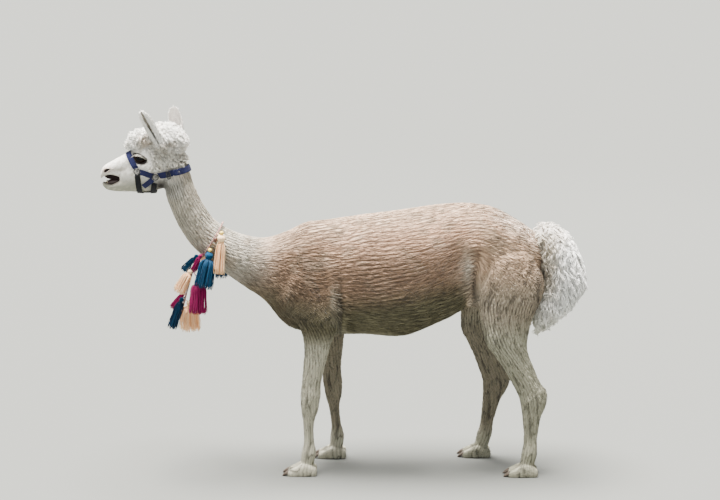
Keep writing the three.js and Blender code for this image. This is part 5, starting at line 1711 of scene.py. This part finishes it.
# The straps' middle planes: start and end in the side view, width, and the angles from one ring to the other.
nose = wrapped((-0.7505, 1.1605), (-0.7165, 1.1000), 0.0205, (0.20 * np.pi, -1.20 * np.pi))
jaw = wrapped((-0.7125, 1.080), (-0.7085, 1.000), 0.0200, (-0.24 * np.pi, 1.24 * np.pi))
throat = wrapped((-0.6525, 1.060), (-0.668, 0.985), 0.0185, (-0.17 * np.pi, 1.17 * np.pi))
crown = wrapped((-0.6345, 1.075), (-0.515, 1.101), 0.0220, (-0.29 * np.pi, 1.29 * np.pi), 200)
tab = on_side(-1, [(-0.6600, 1.0620), (-0.6720, 1.0520), (-0.6840, 1.0425), (-0.6950, 1.0330)], 0.018)
sewn = [
    webbing("halter_strap_nose", nose, ["halter_noseband_upper"], navy, over=OVER_RING),
    webbing("halter_strap_jaw", jaw, ["halter_noseband_lower"], black, over=OVER_RING),
    webbing("halter_strap_throat", throat, ["halter_throat"], black, over=OVER_RING),
    webbing("halter_strap_crown", crown, ["halter_crown"], navy, DOUBLED, OVER_RING),
    webbing("halter_strap_tab", tab, ["halter_tab"], navy, DOUBLED, (0.002, 0.001)),
    webbing("halter_strap_chin", under_jaw(-0.711, -0.668, 0.022), ["halter_chin_link"], black, DOUBLED),
    webbing("halter_chin_fold", under_jaw(-0.706, -0.672, 0.020), [], black, 0.0060),
]
for name, side in SIDES.items():
    cheek = on_side(side, [(-0.7065, 1.0900), (-0.690, 1.0865), (-0.675, 1.0805), (-0.6555, 1.0745)], 0.0195)
    sewn.append(webbing(f"halter_strap_cheek_{name}", cheek, [f"halter_cheek_{name}"], navy, over=OVER_RING))


def hoop(middle, long, high, wire, square=2.0, tilt=0.0, turn=0.0, around=72, sides=12):
    """A closed wire round a superellipse that stands in the side view, tilted in it and then turned about the
    vertical: its middle line is cosine and sine to the power of 2 / square."""
    a = np.arange(around) / around * 2 * np.pi
    bent = [np.sign(f(a)) * np.abs(f(a)) ** (2 / square) for f in (np.cos, np.sin)]
    line = np.stack([long * bent[0], 0 * a, high * bent[1]], 1)
    way = unit(np.roll(line, -1, axis=0) - np.roll(line, 1, axis=0))
    out = np.cross(way, [0, 1, 0])
    b = np.arange(sides) / sides * 2 * np.pi
    rim = np.cos(b)[:, None] * out[:, None] + np.sin(b)[:, None] * np.array([0, 1, 0])
    points = line[:, None] + wire * rim
    spin = np.array(mathutils.Euler((0, tilt, turn)).to_matrix())
    number = np.arange(around * sides).reshape(around, sides)
    ahead, above = np.roll(number, -1, axis=0), np.roll(number, -1, axis=1)
    quads = np.stack([number, ahead, np.roll(ahead, -1, axis=1), above], -1).reshape(-1, 4)
    return points.reshape(-1, 3) @ spin.T + middle, quads


def steel_wire():
    """Worn nickel steel: a noise on Object coordinates dulls it in patches."""
    material = finish_of("nickel_steel", (0.075, 0.075, 0.072), 0.55, Metallic=1.0)
    tree = material.node_tree
    rough = plus(tree, noise(tree, 350, 5), 0.4, 0.12)
    tree.links.new(rough, tree.nodes["Principled BSDF"].inputs["Roughness"])
    return material


steel = steel_wire()
RING, WIRE = 0.0098, 0.0018
for label, at in (("nose", (-0.713, 1.092)), ("cheek", (-0.649, 1.0725))):
    for name, side in SIDES.items():
        a = np.arange(12) / 12 * 2 * np.pi
        reach = np.stack([at[0] + RING * np.cos(a), 0 * a + side * 0.2, at[1] + RING * np.sin(a)], 1)
        clear = np.abs(met(reach, np.broadcast_to([0.0, -side, 0.0], reach.shape))[0][:, 1]).max()
        steel_ring = hoop(np.array([at[0], side * (clear + WIRE), at[1]]), RING, RING, WIRE)
        mesh = placed(f"halter_steel_{label}_{name}", steel_ring)
        piece(mesh, steel, "steel", f"halter_ring_{label}_{name}")

# The slide is a rounded wire frame with a bar down its middle. It leans as the strap does.
SLIDE = np.array([-0.604, 0, 1.080])
SLIDE_LEAN, SLIDE_TURN, SLIDE_HALF = -0.24, 0.11, 0.0138
clear = met(np.array([[-0.604, -0.2, 1.080]]), np.array([[0.0, 1.0, 0.0]]))[0][0, 1]
slide_at = SLIDE + [0, clear - 0.0045, 0]
slide_frame = hoop(slide_at, 0.0058, SLIDE_HALF, 0.0016, 5.0, SLIDE_LEAN, SLIDE_TURN)
bar = np.array([[[0, 0, z] for z in (-SLIDE_HALF, -0.005, 0.005, SLIDE_HALF)]])
spin = np.array(mathutils.Euler((0, SLIDE_LEAN, SLIDE_TURN)).to_matrix())
bar = strands(bar @ spin.T + slide_at, 0.0014, sides=10)
piece(placed("halter_slide", joined(slide_frame, bar)), steel, "steel", "halter_buckle")

# Stitches: rows of short threads across each strap, 12.5 and 16.5 mm from each of its ends.
threads = []
for upper, run in sewn:
    for place in (0.0125, 0.0165):
        for row in (np.argmin(np.abs(run - place)), np.argmin(np.abs(run[-1] - run - place))):
            if row + 1 < len(upper):
                low, middle, high = upper[row, [2, 5, 8]]
                out = unit(np.cross(upper[row + 1, 5] - middle, high - low))
                out *= np.sign((middle - [-0.66, 0, 1.08]) @ out)
                edge = low + (high - low) * np.linspace(0.02, 0.86, 6)[:, None]
                step = (high - low) * 0.12
                s = np.array([0, 0.2, 0.8, 1])[None, :, None]
                threads.append(edge[:, None] + step * s + out * (0.0004 * np.sin(np.pi * s) - 0.0001))
thread = finish_of("thread", (0.10, 0.12, 0.30), 0.7)
stitches = placed("halter_stitches", strands(np.concatenate(threads), 0.0003, sides=5))
piece(stitches, thread, "navy_webbing")

# ---------------------------------------------------------------- the garland's tassels
# Eleven wool tassels hang from the cord in peach, teal, magenta and blue. Each is a knob of yarn bound at its
# waist over a full skirt of cut ends, on a short tie, some of them under a yellow wooden bead.
# name: where it is tied on, its tip, the radii of knob and skirt.
TASSELS = {
    "peach_left": ((-0.424, -0.070, 0.874), (-0.436, -0.088, 0.732), 0.0145, 0.0205),
    "teal_left": ((-0.466, -0.069, 0.812), (-0.493, -0.090, 0.684), 0.0145, 0.0345),
    "magenta_side": ((-0.498, -0.060, 0.801), (-0.528, -0.064, 0.738), 0.0065, 0.0110),
    "teal_front": ((-0.519, 0.034, 0.776), (-0.574, 0.042, 0.715), 0.0085, 0.0155),
    "peach_front": ((-0.536, -0.044, 0.741), (-0.583, -0.056, 0.659), 0.0085, 0.0225),
    "magenta_front": ((-0.562, 0.029, 0.652), (-0.620, 0.038, 0.579), 0.0065, 0.0105),
    "blue_front": ((-0.570, -0.032, 0.638), (-0.610, -0.040, 0.524), 0.0085, 0.0200),
    "magenta_low": ((-0.508, -0.068, 0.718), (-0.512, -0.080, 0.588), 0.0100, 0.0330),
    "peach_low": ((-0.552, 0.024, 0.612), (-0.552, 0.026, 0.500), 0.011, 0.040),
    "teal_right": ((-0.446, 0.072, 0.822), (-0.440, 0.090, 0.678), 0.015, 0.027),
    "peach_right": ((-0.490, 0.068, 0.812), (-0.500, 0.084, 0.674), 0.013, 0.020),
}
YARN = 0.0019
# Each yarn's light colour, and the dark one towards which painted shade and darker strands mix it.
YARN_COLOURS = {
    "peach": ((1.0, 0.79, 0.52), (0.95, 0.50, 0.23)),
    "teal": ((0.004, 0.065, 0.150), (0.001, 0.018, 0.050)),
    "magenta": ((0.33, 0.002, 0.10), (0.13, 0.001, 0.040)),
    "blue": ((0.003, 0.040, 0.095), (0.001, 0.012, 0.035)),
}


def tassel_radius(run, length, knob, skirt):
    """The tassel's radius at distances from its tie: round over the knob, in at the waist, out over rounded
    shoulders to the skirt, and a little in at the cut ends."""
    waist = 1.85 * knob
    rest = length - waist
    profile = np.array([
        (0, 0.15 * knob), (0.35 * knob, 0.72 * knob), (0.9 * knob, knob), (1.45 * knob, 0.84 * knob),
        (waist, 0.55 * knob), (waist + 0.07 * rest, 0.70 * skirt), (waist + 0.22 * rest, 0.90 * skirt),
        (0.86 * length, skirt), (length, 0.96 * skirt),
    ])
    return np.interp(run, *profile.T)


def yarn_of(name, light, dark):
    """Wool yarn: its points' shade, part random tone and part painted shade, mixes dark into light, and a
    fine noise gives it fuzz.
    """
    material = finish_of(name, light, 0.9, Sheen_Weight=0.08, Sheen_Roughness=0.4, Specular_IOR_Level=0.2)
    tree = material.node_tree
    fine = noise(tree, 900, 3)
    share = maths(tree, "ADD", noted(tree, "shade", "Fac"), plus(tree, fine, 0.5, -0.25))
    return led(material, shades(tree, share, (0, dark), (1, light)), fine, 0.6, 0.0005)


yarns = {name: yarn_of(f"{name}_yarn", *colours) for name, colours in YARN_COLOURS.items()}
whole_cord = np.concatenate([drop_path, collar_path]) - SHIFT
for index, (name, (tie, tip, knob, skirt)) in enumerate(TASSELS.items()):
    dice = np.random.default_rng(300 + index)
    tie, tip = np.array(tie), np.array(tip)
    length = np.linalg.norm(tip - tie)
    down = (tip - tie) / length
    first = unit(np.cross(down, [0.2, 0.9, 0.1]))
    second = np.cross(down, first)

    def around_axis(run, radius, turn):
        """Points at distances along the tassel's axis, radii from it and turns round it."""
        rim = np.cos(turn)[..., None] * first + np.sin(turn)[..., None] * second
        return tie + down * run[..., None] + rim * radius[..., None]

    # The skirt's strands spread from the waist to their own share of its radius, waving a little.
    count = int(np.clip(150 * (skirt / 0.024) ** 1.5, 60, 260))
    share = np.sqrt(dice.uniform(0.02, 1.0, count))[:, None]
    turn = dice.uniform(0, 2 * np.pi, (count, 1))
    waist = 1.75 * knob
    s = np.linspace(0, 1, 10)[None, :]
    run = waist + (length * dice.uniform(0.88, 0.985, (count, 1)) - waist) * s
    radius = (tassel_radius(run, length, knob, skirt) - YARN / 2) * share
    wave = 0.0021 * np.sin(s * dice.uniform(3, 9, (count, 1)) + dice.uniform(0, 6, (count, 1))) * s
    skirt_paths = around_axis(run, radius + wave, turn + dice.normal(0, 0.10, (count, 1)) * s)
    # The knob's strands run from the tie over the ball and in under the binding.
    ribs = max(14, int(2 * np.pi * knob / (YARN * 0.95)))
    turn = np.arange(ribs)[:, None] / ribs * 2 * np.pi
    run = np.linspace(0, waist + 0.12 * knob, 10)[None, :] * np.ones((ribs, 1))
    radius = tassel_radius(run, length, knob, skirt) - YARN * 0.4
    knob_paths = around_axis(run, radius, turn + 0.25 * run / knob * 0.3)
    # Four turns of yarn bind the waist, and a short tie goes up to the cord.
    wraps = np.linspace(0, 1, 90)[None, :]
    wrap_run = waist + (wraps - 0.5) * YARN * 4.2
    bind = around_axis(wrap_run, 0 * wraps + knob * 0.62 + YARN * 0.3, wraps * 8 * np.pi)
    near = whole_cord[np.argmin(np.linalg.norm(whole_cord - tie, axis=1))]
    loop_s = np.linspace(0, 1, 8)[None, :, None]
    loop = near + (tie + down * 0.5 * knob - near) * loop_s
    shells = [strands(skirt_paths, YARN / 2 * (1 - 0.25 * s ** 4), 5),
              strands(knob_paths, YARN * 0.56, 6), strands(bind, YARN * 0.5, 6), strands(loop, 0.0016, 8)]
    sizes = [len(shell[0]) for shell in shells]
    mesh = placed(f"tassel_yarn_{name}", joined(*shells))
    # The skirt's strands are darker inside and near the waist, as painted shade, and darker at random as
    # tone.
    depth = dice.uniform(0.15, 1.0, (count, 1)) * (0.35 + 0.65 * share ** 2) * (0.6 + 0.4 * soft(0, 0.3, s))
    shade = np.concatenate([
        np.repeat(depth, 5, axis=1).ravel(),
        np.repeat(dice.uniform(0.55, 0.95, (ribs, 1)) * np.ones((1, 10)), 6, axis=1).ravel(),
        np.full(sizes[2], 0.45), np.full(sizes[3], 0.5)])
    set_attribute(mesh, "shade", "FLOAT", shade)
    colour = name.split("_")[0]
    tassel = piece(mesh, yarns[colour], f"{colour}_yarn", f"tassel_{name}")

# Beads on the cord and its ties: place, radii. Then small white rings on the free cord: place, size, tilt.
BEADS = {
    "bead_yellow_upper": ((-0.4235, -0.0715, 0.879), (0.0072, 0.0072, 0.0070)),
    "bead_yellow_lower": ((-0.4655, -0.0705, 0.818), (0.0072, 0.0072, 0.0070)),
    "bead_brown": ((-0.4465, -0.066, 0.854), (0.0075, 0.0075, 0.0090)),
}
bead_paint = {
    "yellow": streaked("yellow_wood", (0.72, 0.47, 0.07), (0.86, 0.66, 0.17), 140, 0.4),
    "brown": streaked("brown_wood", (0.05, 0.018, 0.012), (0.13, 0.05, 0.03), 160, 0.45),
}
for name, (place, radii) in BEADS.items():
    bead = ball(np.array(place), np.array(radii), 20, 28)
    piece(placed(name, bead), bead_paint[name.split("_")[1]], "cord")
ring_white = streaked("ring_white", (0.66, 0.60, 0.56), (0.80, 0.76, 0.72), 180, 0.5, 0.3, 0.1)
RINGS = {
    "loop_upper": ((-0.5265, -0.040, 0.7535), 0.0085, 0.5),
    "loop_middle": ((-0.5480, -0.036, 0.6960), 0.0080, -0.4),
    "loop_lower": ((-0.5600, -0.030, 0.6620), 0.0090, 0.3),
}
for name, (place, size, tilt) in RINGS.items():
    small_ring = hoop(np.array(place), size * 0.75, size * 1.2, 0.0015, 2.0, tilt, 0.5)
    piece(placed(f"garland_{name}", small_ring), ring_white, "cord")
